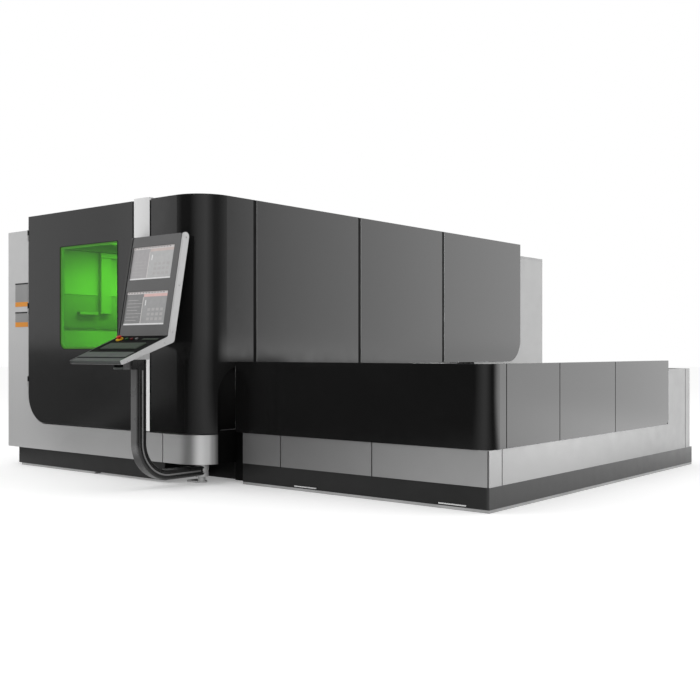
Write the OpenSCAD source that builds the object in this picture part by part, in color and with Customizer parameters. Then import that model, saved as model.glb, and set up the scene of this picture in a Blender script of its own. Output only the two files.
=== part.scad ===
// Enclosed fiber laser cutting machine with a side exchange table and a swinging console.
// Millimetres, +Z up, front towards -Y, loading side towards +X.
// Modules draw in the cabin frame: X 0 is the loading face, Y 0 is the front face.

/* [Cabin] */
// Length of the cabin from its left end to the loading face
cabin_l = 2650; // [2200:10:3100]
// Depth of the cabin from its front face to its back
cabin_w = 5530; // [4600:10:6500]
// Height of the dark outer skin
skin_h = 2270; // [2000:5:2600]
// How far the silver body stays below the dark skin
body_drop = 120; // [60:5:200]
// Depth of the equipment end behind the table
rear_room = 1550; // [1400:10:1800]
// Thickness of the dark skin panels
skin_t = 40; // [30:1:50]
// Thickness of the silver panels
panel_t = 30; // [22:1:36]
// Set-back of the silver faces behind the dark faces
panel_set = 10; // [4:1:14]
// Radius of the round front corner
corner_r = 275; // [240:1:320]
// Radius of the lower end corners of the dark skin
skin_end_r = 257; // [100:1:320]
// Gap between neighbouring outer panels
seam = 10; // [3:0.5:14]
// Lower edge of the dark skin above the loading opening
skin_low = 930; // [880:5:1000]
// Front edge of the loading opening behind the front face
slot_edge = 190; // [160:1:215]
// Radius of the upper front corner of the loading opening
slot_r = 240; // [120:1:260]
// Thickness of the dark sheets beside the loading opening
cover_t = 14; // [6:1:16]
// Height of the low sill of the loading opening
sill_h = 425; // [405:1:440]

/* [Base] */
// Height of the sole strips on the floor
sole_h = 20; // [12:1:30]
// Top of the black plinth
plinth_h = 165; // [140:1:190]
// Top of the silver band above the plinth
band_h = 405; // [370:1:415]
// Set-back of the plinth behind the dark faces
plinth_set = 32; // [20:1:42]
// Set-back of the plinth at the left end
plinth_left = 143; // [80:1:180]
// Width of the plinth rails
plinth_t = 90; // [70:1:110]

/* [Front door] */
// Width of the silver strip beside the front door
door_in = 343; // [280:1:420]
// Run of the corner panel along the front face
front_run = 585; // [480:1:700]
// Thickness of the front door
door_t = 35; // [26:1:39]
// Gap beside the light pillar
pillar_gap = 18; // [5:0.5:24]
// Width of the light pillar
pillar_w = 197; // [160:1:260]
// How far the light pillar stands above the skin
pillar_rise = 14; // [0:1:30]
// Distance of the laser glass from the free edge of the door
window_out = 195; // [150:1:260]
// Distance of the laser glass from the top of the door
window_top = 309; // [220:1:400]
// Lower edge of the laser glass
window_low = 1066; // [980:1:1150]
// Distance of the laser glass from the hinge edge of the door
window_in = 490; // [400:1:560]
// Thickness of the laser glass
window_t = 10; // [6:1:14]
// Width of the ledge behind the laser glass
window_ledge = 16; // [10:1:24]
// Length of the door handle
handle_l = 300; // [220:1:380]

/* [Side skin] */
// Depth of the corner panel along the loading face
corner_run = 588; // [520:1:660]
// Width of the front side panel
side_w1 = 1348; // [1150:1:1500]
// Width of the middle side panel
side_w2 = 1364; // [1150:1:1500]
// Length of the silver wall behind the dark side skin
skin_tail = 620; // [450:1:800]
// Set-back of the silver side behind the dark side
rear_set = 50; // [42:1:70]

/* [Exchange table] */
// Reach of the table from the loading face
table_l = 2330; // [2000:5:2700]
// Set-back of the table front behind the cabin front
table_set = 365; // [330:1:420]
// Gap between the cabin and the lower table body
table_gap = 77; // [60:1:100]
// Top of the dark fence
fence_h = 965; // [910:5:1080]
// Thickness of the fence panels
fence_t = 60; // [45:1:66]
// Radius of the fence at the front corner
fence_r = 130; // [90:1:160]
// Radius of the lower far corner of the fence
fence_end_r = 60; // [30:1:120]
// Top of the silver table body
table_h = 888; // [780:1:930]
// Seam of the fence beside the round corner
fence_s0 = 213; // [195:1:240]
// Second seam of the fence
fence_s1 = 968; // [850:1:1100]
// Third seam of the fence
fence_s2 = 1914; // [1700:1:2100]
// Length of the silver end behind the fence panels
fence_tail = 589; // [400:1:700]
// Length of the round far corner piece
far_tail = 163; // [130:1:220]
// First seam of the table band
band_s1 = 482; // [380:1:600]
// Second seam of the table band
band_s2 = 1362; // [1200:1:1500]
// Width of the two slots in the table plinth
foot_slot_w = 228; // [150:1:300]
// Distance of the first plinth slot from the loading face
foot_slot_in = 618; // [500:1:700]
// Distance of the second plinth slot from the far end
foot_slot_out = 180; // [120:1:300]

/* [Pallets] */
// Room between the table walls and the pallet rails
rail_in = 110; // [95:1:130]
// Width of the pallets along their travel
pallet_w = 1720; // [1500:5:1760]
// Height of the pallet frames
pallet_frame_h = 80; // [60:1:90]
// Full height of a pallet with its slats
pallet_h = 185; // [150:1:200]
// Top of the lower pallet rails
rail_low = 450; // [435:1:460]
// Rise from the lower to the upper pallet rails
rail_rise = 235; // [215:1:250]
// Width of the rail flanges
rail_w = 50; // [40:1:56]
// Distance between slats
slat_pitch = 105; // [90:1:140]
// Thickness of a slat
slat_t = 5; // [4:0.5:8]
// Distance between the teeth of a slat
tooth_pitch = 90; // [70:1:140]
// Side clearance of a pallet between its rails
pallet_play = 6; // [3:0.5:10]
// Running clearance of sliding faces
play = 0.4; // [0.3:0.05:0.6]

/* [Gantry] */
// Width of the bed beams under the gantry
beam_w = 180; // [150:1:200]
// Top of the bed beams
beam_top = 1240; // [1180:1:1280]
// Height of the bed beams
beam_h = 190; // [150:1:200]
// Height of the gantry rails
rail_h = 30; // [24:1:34]
// Height of the gantry beam
gantry_h = 220; // [180:1:250]
// Depth of the gantry beam
gantry_d = 240; // [200:1:280]
// Length of the gantry end trucks
truck_l = 400; // [320:1:480]
// Height of the gantry end trucks
truck_h = 70; // [60:1:85]
// Place of the gantry behind the front face
gantry_y = 1500; // [1200:1:1800]
// Place of the cutting head before the loading face
head_x = 1180; // [950:1:1400]
// Width of the cross carriage
carriage_w = 300; // [250:1:350]
// Height of the carriage motor above the gantry beam
motor_l = 120; // [90:1:150]
// Depth of the cable tray behind the gantry beam
tray_d = 70; // [50:1:76]
// Height of the nozzle tip in the middle of its stroke
nozzle_z = 950; // [930:1:980]

/* [Cutting head] */
// Width of the head body
head_w = 84; // [70:1:96]
// Height of the head body
head_l = 330; // [280:1:380]
// Height of the nozzle and its collar
head_low = 140; // [120:1:160]
// Lower end of the lifting plate above the nozzle tip
lift_low = 300; // [260:1:340]
// Length of the lifting plate
lift_l = 460; // [400:1:520]

/* [Equipment end] */
// Width of a service door
rear_w = 760; // [650:1:860]
// Width of the laser source
laser_w = 700; // [600:1:740]
// Depth of the laser source
laser_d = 620; // [500:1:720]
// Height of the laser source
laser_h = 1150; // [900:1:1400]
// Width of the switch cabinet
cab_w = 720; // [620:1:750]
// Depth of the switch cabinet
cab_d = 560; // [450:1:660]
// Height of the switch cabinet
cab_h = 1500; // [1200:1:1650]
// Gap between the partition and the cabinets
cab_gap = 300; // [200:1:400]
// Radius of the fume duct spigot
duct_r = 110; // [90:1:140]
// Height of the fume duct spigot
duct_h = 80; // [60:1:110]
// Distance of the fume duct from the back
duct_in = 720; // [500:1:900]

/* [Console] */
// Distance of the pivot post from both cabin faces
post_in = 255; // [225:1:270]
// Radius of the pivot post
post_r = 30; // [24:1:38]
// Width of the arm tube
arm_w = 105; // [80:1:120]
// Thickness of the arm tube
arm_d = 75; // [65:1:90]
// Reach of the arm from the pivot post to its upright
arm_reach = 633; // [600:1:740]
// Width of the groove along both sides of the arm
groove_w = 34; // [20:1:44]
// Depth of the groove along both sides of the arm
groove_d = 5; // [2:0.5:9]
// Outer radius of the arm bend
arm_bend = 300; // [240:1:320]
// Height of the arm centre above the floor
arm_z = 100; // [95:1:104]
// How far the head of the arm reaches forward under the deck
head_out = 62; // [40:1:80]
// Width of the console
console_w = 622; // [520:1:660]
// Distance of the right console side from the loading face
console_right = 81; // [60:1:140]
// Height of the inner elbow of the console
elbow_z = 1158; // [1080:1:1230]
// Distance of the inner elbow in front of the cabin
elbow_y = 244; // [210:1:280]
// Slope of the control deck
deck_a = 22.2; // [20:0.1:26]
// Length of the control deck
deck_l = 478; // [430:1:540]
// Lean of the screen panel from the vertical
face_a = 10.4; // [8:0.1:12]
// Length of the screen panel
face_l = 816; // [740:1:880]
// Depth of the console sides
side_d = 58; // [48:1:70]
// Thickness of the console side plates
side_t = 16; // [12:1:20]
// Width of a screen
screen_w = 498; // [440:1:520]
// Height of a screen
screen_h = 268; // [220:1:290]
// Distance of the lower screen from the elbow
screen_low = 95; // [60:1:110]
// Distance from the lower to the upper screen
screen_step = 363; // [320:1:390]
// How far the screens sit left of the middle of the console
screen_left = 29; // [0:1:32]
// Width of the keyboard
key_w = 420; // [360:1:460]
// Depth of the keyboard
key_d = 112; // [95:1:130]
// Distance of the keyboard from the elbow
key_in = 138; // [120:1:160]
// Distance of the buttons from the elbow
button_in = 52; // [45:1:60]
// Distance of the emergency stop from the left console side
estop_in = 95; // [80:1:110]
// Distance of the first button from the left console side
button_left = 185; // [165:1:210]
// Distance between the buttons
button_step = 60; // [45:1:80]

/* [Drawing] */
// Sub-part to draw, or all

/* [Hidden] */
$fn = 48;
eps = 0.01;
// Frame tube and sheet values
tube = 80;
pan_t = 12;
weld = 0.2;
rear_reach = 30;
wall_t = 30;
corner_lip = 5;
// Sizes that follow from the cabin and the table
body_h = skin_h - body_drop;
door_edge = cabin_l - door_in;
door_w = door_edge - front_run - pillar_w - 2 * pillar_gap;
window_w = door_w - window_in - window_out;
window_h = skin_h - window_top - window_low;
table_w = cabin_w - rear_room - table_set;
fence_s3 = table_w - fence_tail;
far_seam = table_w - far_tail;
// Console profile in the YZ plane, measured from the cabin front
elbow = [-elbow_y, elbow_z];
deck_u = [-cos(deck_a), -sin(deck_a)];
deck_n = [sin(deck_a), -cos(deck_a)];
face_u = [sin(face_a), cos(face_a)];
face_n = [cos(face_a), -sin(face_a)];
tip = elbow + deck_l * deck_u;
tip_low = tip + 30 * deck_n;
face_top = elbow + face_l * face_u;
back_top = face_top + side_d * face_n;
// The outer elbow lies where the back line meets the underside line
under = elbow + side_d * deck_n;
back = elbow + side_d * face_n;
cross_d = deck_u[0] * face_u[1] - deck_u[1] * face_u[0];
under_t = ((back[0] - under[0]) * face_u[1] - (back[1] - under[1]) * face_u[0]) / cross_d;
elbow_out = under + under_t * deck_u;
console_x = -console_right - console_w / 2;
console_reach = -min(tip[0], tip_low[0]);
// Place of the cabin frame in the part frame, which is centred
x_c = (cabin_l - table_l) / 2;
y_f = (console_reach - cabin_w - rear_reach) / 2;
// Table and pallet places
ty0 = table_set;
ty1 = table_set + table_w;
rail_y0 = ty0 + rail_in;
rail_y1 = ty1 - rail_in;
pallet_l = rail_y1 - rail_y0 - 2 * pallet_play;
rail_up = rail_low + rail_rise;
table_x0 = table_gap;
table_x1 = table_l - fence_t;
beam_xl = -cabin_l + 2 * tube + panel_t;
beam_xr = -2 * tube - 40 - beam_w;
bed_x0 = beam_xl;
bed_x1 = beam_xr + beam_w;
work_x = (beam_xl + beam_w + beam_xr) / 2;
shop_x = (table_x0 + table_x1) / 2 + 6;
// Places of the panels
pillar_x = -door_edge + door_w + pillar_gap;
skin_x = pillar_x + pillar_w + pillar_gap;
side_y1 = corner_run + seam;
side_y2 = side_y1 + side_w1 + seam;
side_y3 = side_y2 + side_w2 + seam;
side_w3 = cabin_w - skin_tail - side_y3;
band_seam = skin_x + 130;
frame_z = body_h - panel_t;
floor_z = plinth_h + pan_t;
slot_end = ty1 + 15;
part_y = rail_y1 + 50 + beam_w + 10;
rail_z = beam_top + rail_h;
beam_z = rail_z + truck_h;
post_x = -post_in;
post_y = post_in - 13;
// Rear door openings
rear_z0 = band_h + 20;
rear_z1 = frame_z - tube - 30;
rear_hz = [rear_z0 + 160, rear_z1 - 220];
rear_hy = 9;
rear_xl = -cabin_l + 2 * tube + 60;
rear_xr = -rear_set - panel_t - tube - 60 - rear_w;

module in_cabin() {
    translate([x_c, y_f, 0]) children();
}

module block(a, b) {
    translate(a) cube([b[0] - a[0], b[1] - a[1], b[2] - a[2]]);
}

// Straight member, short of its neighbours by the weld gap
module bar(a, b) {
    w = weld / 2;
    block([a[0] + w, a[1] + w, a[2] + w], [b[0] - w, b[1] - w, b[2] - w]);
}

// Plate outline with its own radius at each corner: low left, low right, top right, top left
module plate(w, h, r) {
    c = [[0, 0], [w, 0], [w, h], [0, h]];
    s = [[1, 1], [-1, 1], [-1, -1], [1, -1]];
    difference() {
        square([w, h]);
        for (i = [0:3]) if (r[i] > 0) translate([c[i][0] - (s[i][0] < 0 ? r[i] : 0),
            c[i][1] - (s[i][1] < 0 ? r[i] : 0)]) square(r[i]);
    }
    for (i = [0:3]) if (r[i] > 0) translate([c[i][0] + s[i][0] * r[i],
        c[i][1] + s[i][1] * r[i]]) circle(r[i]);
}

// Upright plate facing the front
module front_plate(x, y, z, w, h, t, r = [0, 0, 0, 0]) {
    translate([x, y + t, z]) rotate([90, 0, 0]) linear_extrude(t) plate(w, h, r);
}

// Upright plate facing the loading side
module side_plate(x, y, z, w, h, t, r = [0, 0, 0, 0]) {
    translate([x, y, z]) rotate([90, 0, 90]) linear_extrude(t) plate(w, h, r);
}

// Plan of a wall that runs along the front, round the corner and along the loading side
module corner_plan(x0, y1, set, t, r) {
    o = r - set;
    i = r - set - t;
    translate([x0, set]) square([-r - x0, t]);
    translate([-set - t, r]) square([t, y1 - r]);
    translate([-r, r]) intersection() {
        difference() {
            circle(o);
            circle(i);
        }
        translate([0, -r]) square(r);
    }
}

// Plan of a sheet with a round front right corner
module sheet_plan(x0, y0, x1, y1, r) {
    translate([x0, y0]) plate(x1 - x0, y1 - y0, [0, r, 0, 0]);
}

function unit(v) = v / norm(v);

// Corner c between a and b as points on an arc of radius r
function arc_at(a, c, b, r) = let (u = unit(a - c), v = unit(b - c), h = acos(u * v) / 2,
    m = c + unit(u + v) * r / sin(h),
    p = c + u * r / tan(h) - m, q = c + v * r / tan(h) - m)
    [for (i = [0:6]) let (w = p * (1 - i / 6) + q * i / 6) m + unit(w) * r];

function rounded(p, r) = [for (i = [0:len(p) - 1])
    each arc_at(p[(i + len(p) - 1) % len(p)], p[i], p[(i + 1) % len(p)], r[i])];

module tilt_deck() {
    translate([console_x, elbow[0], elbow[1]]) rotate([deck_a, 0, 0]) children();
}

module tilt_face() {
    translate([console_x, elbow[0], elbow[1]]) rotate([90 - face_a, 0, 0]) children();
}

// Flat bars that carry the plinths on the floor
module sole_strips() {
    end_gap = 900;
    color("#7d7f82") in_cabin() {
        block([-cabin_l + plinth_left + 37, plinth_set + 4, 0],
            [-cabin_l / 2 - 40, plinth_set + 64, sole_h]);
        block([-cabin_l + plinth_left + 4, end_gap, 0], [-cabin_l + plinth_left + 64,
            cabin_w - end_gap, sole_h]);
        block([-cabin_l + 250, cabin_w - plinth_set - 64, 0], [-250, cabin_w - plinth_set - 4, sole_h]);
        block([-rear_set - plinth_set - 64, end_gap, 0], [-rear_set - plinth_set - 4,
            cabin_w - end_gap, sole_h]);
        block([table_x0 + 1, ty0 + 9, 0], [table_l - 9, ty0 + 69, sole_h]);
        block([table_l - 69, ty0 + 70, 0], [table_l - 9, ty1 - 70, sole_h]);
        block([table_x0 + 1, ty1 - 69, 0], [table_l - 9, ty1 - 9, sole_h]);
    }
}

// Black plinth rails, open at the round corner for the swinging arm
module cabin_plinth() {
    y1 = cabin_w - plinth_set;
    x0 = -cabin_l + plinth_left;
    x1 = -rear_set - plinth_set;
    nx = -post_in - 200;
    ny = post_y + 200;
    color("#161718") in_cabin() {
        bar([x0, plinth_set, sole_h], [nx, plinth_set + plinth_t, plinth_h]);
        bar([x0, plinth_set + plinth_t, sole_h], [x0 + plinth_t, y1 - plinth_t, plinth_h]);
        bar([x0, y1 - plinth_t, sole_h], [x1, y1, plinth_h]);
        bar([x1 - plinth_t, ny, sole_h], [x1, y1 - plinth_t, plinth_h]);
        bar([nx - 40, plinth_set + plinth_t, sole_h], [nx, ny + 40, plinth_h]);
        bar([nx, ny, sole_h], [x1 - plinth_t, ny + 40, plinth_h]);
    }
}

// Welded tubes behind the panels
module cabin_frame() {
    yb = cabin_w - panel_t;
    xl = -cabin_l + panel_t;
    xr = -rear_set - panel_t;
    hz = -door_edge - 78;
    ft = frame_z - tube;
    color("#4b4e52") in_cabin() {
        bar([xl, skin_t, floor_z], [xl + tube, skin_t + tube, ft]);
        bar([hz, skin_t, floor_z], [hz + tube, skin_t + tube, ft]);
        bar([pillar_x + 60, skin_t, floor_z], [pillar_x + 60 + tube, skin_t + tube, ft]);
        bar([hz + tube, skin_t, floor_z], [pillar_x + 60, skin_t + tube, band_h + 45]);
        bar([xl, skin_t, ft], [-corner_r, skin_t + tube, frame_z]);
        bar([xl, skin_t + tube, ft], [xl + tube, yb, frame_z]);
        bar([xl, part_y - 10, floor_z], [xl + tube, part_y + tube - 10, ft]);
        bar([xl, yb - tube, floor_z], [xl + tube, yb, ft]);
        bar([xl + tube, yb - tube, ft], [xr, yb, frame_z]);
        bar([xr - tube, yb - tube, floor_z], [xr, yb, ft]);
        bar([xr - tube, slot_end, floor_z], [xr, slot_end + tube, ft]);
        bar([xr - tube, slot_end, ft], [xr, yb - tube, frame_z]);
        bar([-skin_t - tube, corner_r, ft], [-skin_t, slot_end, frame_z]);
        bar([-skin_t - tube, corner_r, skin_low + 10], [-skin_t, slot_end, skin_low + 10 + tube]);
        bar([-slot_edge - 10, slot_edge + 5 - tube, floor_z],
            [-slot_edge - 10 + tube, slot_edge + 5, frame_z]);
        bar([-skin_t - 40, corner_r, plinth_h], [-skin_t, slot_end, sill_h]);
    }
}

// Welded bed: floor pan, columns, gantry beams and the cross walls that carry the pallet rails
module machine_bed() {
    in_r = corner_r - panel_set - panel_t - 2;
    color("#565a5e") in_cabin() {
        translate([0, 0, plinth_h]) linear_extrude(pan_t)
            sheet_plan(-cabin_l + panel_t, skin_t, -skin_t - 40, cabin_w - panel_t, in_r);
        for (x = [beam_xl, beam_xr]) {
            bar([x, rail_y0 - 50 - beam_w, floor_z], [x + beam_w, rail_y0 - 50, beam_top - beam_h]);
            bar([x, rail_y1 + 50, floor_z], [x + beam_w, rail_y1 + 50 + beam_w, beam_top - beam_h]);
            bar([x, rail_y0 - 50 - beam_w, beam_top - beam_h],
                [x + beam_w, rail_y1 + 50 + beam_w, beam_top]);
        }
        bar([bed_x0, rail_y0 - 50, floor_z], [bed_x1, rail_y0, rail_up + 120]);
        bar([bed_x0, rail_y1, floor_z], [bed_x1, rail_y1 + 50, rail_up + 120]);
    }
}

// Guide rails of the gantry
module gantry_rails() {
    color("#b9bdc1") in_cabin() for (x = [beam_xl, beam_xr])
        block([x + beam_w / 2 - 20, rail_y0 - 40 - beam_w, beam_top],
            [x + beam_w / 2 + 20, rail_y1 + 40 + beam_w, rail_z]);
}

// Flanges on two levels that the pallets slide on
module pallet_rails() {
    color("#9aa0a5") in_cabin() for (z = [rail_low, rail_up]) {
        for (s = [[bed_x0 + 40, bed_x1], [table_x0 + 4, table_l - fence_r - 20]]) {
            block([s[0], rail_y0, z - 10], [s[1], rail_y0 + rail_w, z]);
            block([s[0], rail_y1 - rail_w, z - 10], [s[1], rail_y1, z]);
        }
    }
}

// Silver folded panel: band under the door and strip beside it
module front_body_panel() {
    w = band_seam - seam / 2 + cabin_l;
    strip = cabin_l - door_edge - seam;
    color("#b4b6b8") in_cabin()
        translate([-cabin_l, panel_set + panel_t, plinth_h]) rotate([90, 0, 0]) linear_extrude(panel_t) {
            difference() {
                square([strip + skin_end_r + seam, body_h - plinth_h]);
                translate([strip, band_h - seam - plinth_h]) plate(skin_end_r + 2 * seam, skin_h,
                    [skin_end_r + seam, 0, 0, 0]);
            }
            translate([strip + skin_end_r, 0]) square([w - strip - skin_end_r, band_h - seam - plinth_h]);
        }
}

// Silver band round the front corner
module corner_band() {
    color("#b4b6b8") in_cabin() translate([0, 0, plinth_h]) linear_extrude(band_h - seam - plinth_h)
        difference() {
            corner_plan(band_seam + seam / 2, corner_r + 20, panel_set, panel_t, corner_r);
            translate([-corner_r, slot_edge + 10]) square([corner_r, corner_r]);
        }
}

// Silver panels of the left end
module left_end_panels() {
    y0 = panel_set + panel_t;
    w = (cabin_w - panel_t - y0 - 3 * seam) / 3;
    color("#b4b6b8") in_cabin() for (i = [0:2])
        side_plate(-cabin_l, y0 + i * (w + seam), plinth_h, w, body_h - panel_t - plinth_h, panel_t);
}

// Silver back wall round the two service doors
module rear_panels() {
    y = cabin_w - panel_t;
    x1 = -rear_set;
    h = frame_z - plinth_h;
    color("#b4b6b8") in_cabin() {
        front_plate(-cabin_l, y, plinth_h, rear_xl + cabin_l - 4, h, panel_t);
        front_plate(rear_xl + rear_w + 4, y, plinth_h, rear_xr - rear_xl - rear_w - 8, h, panel_t);
        front_plate(rear_xr + rear_w + 4, y, plinth_h, x1 - rear_xr - rear_w - 4, h, panel_t);
        for (x = [rear_xl, rear_xr]) {
            front_plate(x - 4 + weld / 2, y, plinth_h, rear_w + 8 - weld, rear_z0 - 4 - plinth_h,
                panel_t);
            front_plate(x - 4 + weld / 2, y, rear_z1 + 4, rear_w + 8 - weld, frame_z - rear_z1 - 4,
                panel_t);
        }
    }
}

// Silver wall behind the table on the loading side
module side_rear_panels() {
    color("#b4b6b8") in_cabin()
        side_plate(-rear_set - panel_t, slot_end, plinth_h, cabin_w - panel_t - slot_end,
            frame_z - plinth_h, panel_t);
}

// Roof sheets on the frame
module roof_panels() {
    ym = part_y + 20;
    color("#a9abad") in_cabin() translate([0, 0, frame_z]) linear_extrude(panel_t) {
        sheet_plan(-cabin_l, skin_t, -skin_t, ym - seam / 2, corner_r - skin_t + 1);
        translate([-cabin_l, ym + seam / 2]) square([cabin_l - rear_set, cabin_w - ym - seam / 2]);
    }
}

// Spigot for the fume duct
module exhaust_collar() {
    color("#8f9397") in_cabin() translate([-cabin_l / 2, cabin_w - duct_in, body_h]) difference() {
        union() {
            cylinder(h = 6, r = duct_r + 40, $fn = 72);
            cylinder(h = duct_h, r = duct_r, $fn = 72);
        }
        translate([0, 0, 6]) cylinder(h = duct_h, r = duct_r - 3, $fn = 72);
    }
}

// Pale pillar with a bowed face between the door and the corner
module light_pillar() {
    bow = 12;
    r = pillar_w * pillar_w / (8 * bow) + bow / 2;
    color("#d8dadb") in_cabin() translate([pillar_x, 0, band_h])
        linear_extrude(skin_h + pillar_rise - band_h) {
        square([pillar_w, skin_t]);
        translate([pillar_w / 2, r - bow]) intersection() {
            circle(r, $fn = 96);
            translate([-pillar_w / 2, -r]) square([pillar_w, bow + 2]);
        }
    }
}

// Dark panel round the front corner, cut away at the loading opening
module corner_skin() {
    color("#3a3d40") in_cabin() difference() {
        translate([0, 0, band_h]) linear_extrude(skin_h - band_h)
            corner_plan(skin_x, corner_run, 0, skin_t, corner_r);
        side_plate(-corner_r - 50, slot_edge, band_h - 100, corner_run, skin_low - band_h + 100,
            corner_r + 100,
            [0, 0, 0, slot_r]);
    }
}

module side_skin(y, w, r) {
    color("#3a3d40") in_cabin() side_plate(-skin_t, y, skin_low, w, skin_h - skin_low, skin_t, [0, r,
        0, 0]);
}

module side_skin_front() {
    side_skin(side_y1, side_w1, 0);
}

module side_skin_middle() {
    side_skin(side_y2, side_w2, 0);
}

module side_skin_rear() {
    side_skin(side_y3, side_w3, skin_end_r);
}

// Wall between the cutting room and the equipment room
module partition_wall() {
    color("#9b9ea1") in_cabin()
        front_plate(-cabin_l + panel_t + tube, part_y, floor_z,
            cabin_l - rear_set - 2 * panel_t - 2 * tube,
            frame_z - floor_z, wall_t);
}

// Laser source cabinet behind the left service door
module laser_source() {
    color("#d4d6d8") in_cabin() translate([rear_xl + (rear_w - laser_w) / 2, part_y + wall_t + cab_gap,
        floor_z]) {
        difference() {
            cube([laser_w, laser_d, laser_h]);
            for (i = [0:7]) translate([80, laser_d - 8, 160 + 40 * i]) cube([laser_w - 160, 9, 14]);
        }
        translate([60, laser_d, laser_h - 390]) cube([laser_w - 120, 6, 300]);
    }
}

// Switch cabinet behind the right service door
module control_cabinet() {
    color("#c3c6c8") in_cabin() translate([rear_xr + (rear_w - cab_w) / 2, part_y + wall_t + cab_gap,
        floor_z]) {
        difference() {
            cube([cab_w, cab_d, cab_h]);
            translate([24, cab_d - 20, 24]) cube([cab_w - 48, 21, cab_h - 48]);
        }
        for (i = [0:3]) translate([60, cab_d - 20, 140 + i * (cab_h - 140) / 4])
            cube([cab_w - 120, 14, 200]);
    }
}

// Post that the console arm turns on
module pivot_post() {
    color("#b9bcbf") in_cabin() translate([post_x, post_y, 0]) {
        cylinder(h = 14, r = post_r + 14);
        translate([-post_r - 91, -50, 0]) cube([post_r + 91, 100, 14]);
        cylinder(h = plinth_h, r = post_r);
        translate([0, 0, plinth_h - 10]) cylinder(h = 10, r = post_r + 14);
    }
}

// Black plinth of the table with two shallow slots
module table_plinth() {
    s = 8;
    color("#161718") in_cabin() {
        difference() {
            bar([table_x0, ty0 + s, sole_h], [table_l - s, ty0 + s + plinth_t, plinth_h]);
            for (x = [foot_slot_in, table_l - foot_slot_out - foot_slot_w])
                block([x, ty0, sole_h + 6], [x + foot_slot_w, ty0 + s + 12, sole_h + 20]);
        }
        bar([table_l - s - plinth_t, ty0 + s + plinth_t, sole_h],
            [table_l - s, ty1 - s - plinth_t, plinth_h]);
        bar([table_x0, ty1 - s - plinth_t, sole_h], [table_l - s, ty1 - s, plinth_h]);
    }
}

// Floor pan, the walls that carry the pallet rails and the ties to the cabin
module table_frame() {
    s = 8;
    y0 = ty0 + s + fence_t;
    y1 = ty1 - s - fence_t;
    xe = table_l - s - fence_t;
    xw = table_l - s - fence_r;
    color("#565a5e") in_cabin() {
        bar([table_x0, y0, plinth_h], [xe, y1, floor_z]);
        bar([table_x0, y0, floor_z], [xw, rail_y0, rail_up + 60]);
        bar([table_x0, rail_y1, floor_z], [xw, y1, rail_up + 60]);
        for (i = [1:3]) let (y = ty0 + i * table_w / 4 - 30) bar([xe - 60, y, floor_z],
            [xe, y + 60, band_h]);
        for (y = [rail_y0 + 120, rail_y1 - 200]) bar([-skin_t, y, floor_z],
            [table_x0, y + 80, floor_z + 60]);
    }
}

// Dark fence along the front and round the corner
module table_front_skin() {
    color("#2f3235") in_cabin() translate([0, 0, band_h]) linear_extrude(fence_h - band_h) {
        translate([4, ty0]) square([table_l - fence_r - 4, fence_t]);
        translate([table_l - fence_t, ty0 + fence_r]) square([fence_t, fence_s0 - fence_r - seam / 2]);
        translate([table_l - fence_r, ty0 + fence_r]) intersection() {
            difference() {
                circle(fence_r);
                circle(fence_r - fence_t);
            }
            translate([0, -fence_r]) square(fence_r);
        }
    }
}

// Grey fence panels along the far side
module table_side_skin() {
    s = [fence_s0, fence_s1, fence_s2, fence_s3];
    color("#6c6f72") in_cabin() for (i = [0:2])
        side_plate(table_l - fence_t, ty0 + s[i] + seam / 2, band_h, s[i + 1] - s[i] - seam,
            fence_h - band_h, fence_t,
            [0, i == 2 ? fence_end_r : 0, 0, 0]);
}

// Silver band panels along the table front
module table_band_front() {
    s = [table_x0, band_s1, band_s2, table_l - 8];
    color("#b4b6b8") in_cabin() for (i = [0:2])
        front_plate(s[i] + (i > 0 ? seam / 2 : 0), ty0 + 8, plinth_h,
            s[i + 1] - s[i] - (i == 1 ? seam : seam / 2) - (i == 2 ? corner_lip + seam : 0),
            band_h - plinth_h, fence_t);
}

// Silver band along the far side, raised behind the fence end
module table_band_side() {
    x = table_l - 8 - fence_t;
    h = band_h - plinth_h;
    up = fence_s3 + seam / 2;
    color("#b4b6b8") in_cabin() {
        difference() {
            side_plate(x, ty0 + 8, plinth_h, 175 - seam - 8, h, fence_t);
            side_plate(x - 1, ty0, plinth_h - 1, 8 + fence_t + seam, h + 2, fence_t - corner_lip + 1);
        }
        translate([x, ty0 + 175, plinth_h]) rotate([90, 0, 90]) linear_extrude(fence_t) {
            square([far_seam - seam - 175, h]);
            translate([up - 175, 0]) square([far_seam - seam - up, table_h - plinth_h]);
        }
    }
}

// Silver back wall of the table with a round corner
module table_rear_skin() {
    r = fence_t;
    x1 = table_l - 8;
    color("#b4b6b8") in_cabin() translate([0, 0, plinth_h]) linear_extrude(table_h - plinth_h) {
        translate([table_x0, ty1 - fence_t - 8]) square([x1 - r - table_x0, fence_t]);
        translate([x1 - fence_t, ty0 + far_seam]) square([fence_t, ty1 - 8 - r - ty0 - far_seam]);
        translate([x1 - r, ty1 - 8 - r]) intersection() {
            circle(r);
            square(r);
        }
    }
}

hinge_low = band_h + skin_end_r + 60;
hinge_top = skin_h - 220;
hinge_z = [hinge_low, (hinge_low + hinge_top) / 2, hinge_top];
hinge_x = -door_edge - 3;
hinge_y = -1;

// Fixed halves of the door hinges with their pins
module door_hinges() {
    color("#8b8f93") in_cabin() for (z = hinge_z) translate([hinge_x, hinge_y, z]) {
        cylinder(h = 50, r = 7);
        cylinder(h = 98, r = 3);
        translate([-1.5, 0, 0]) cube([3, skin_t - hinge_y, 50]);
    }
}

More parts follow.
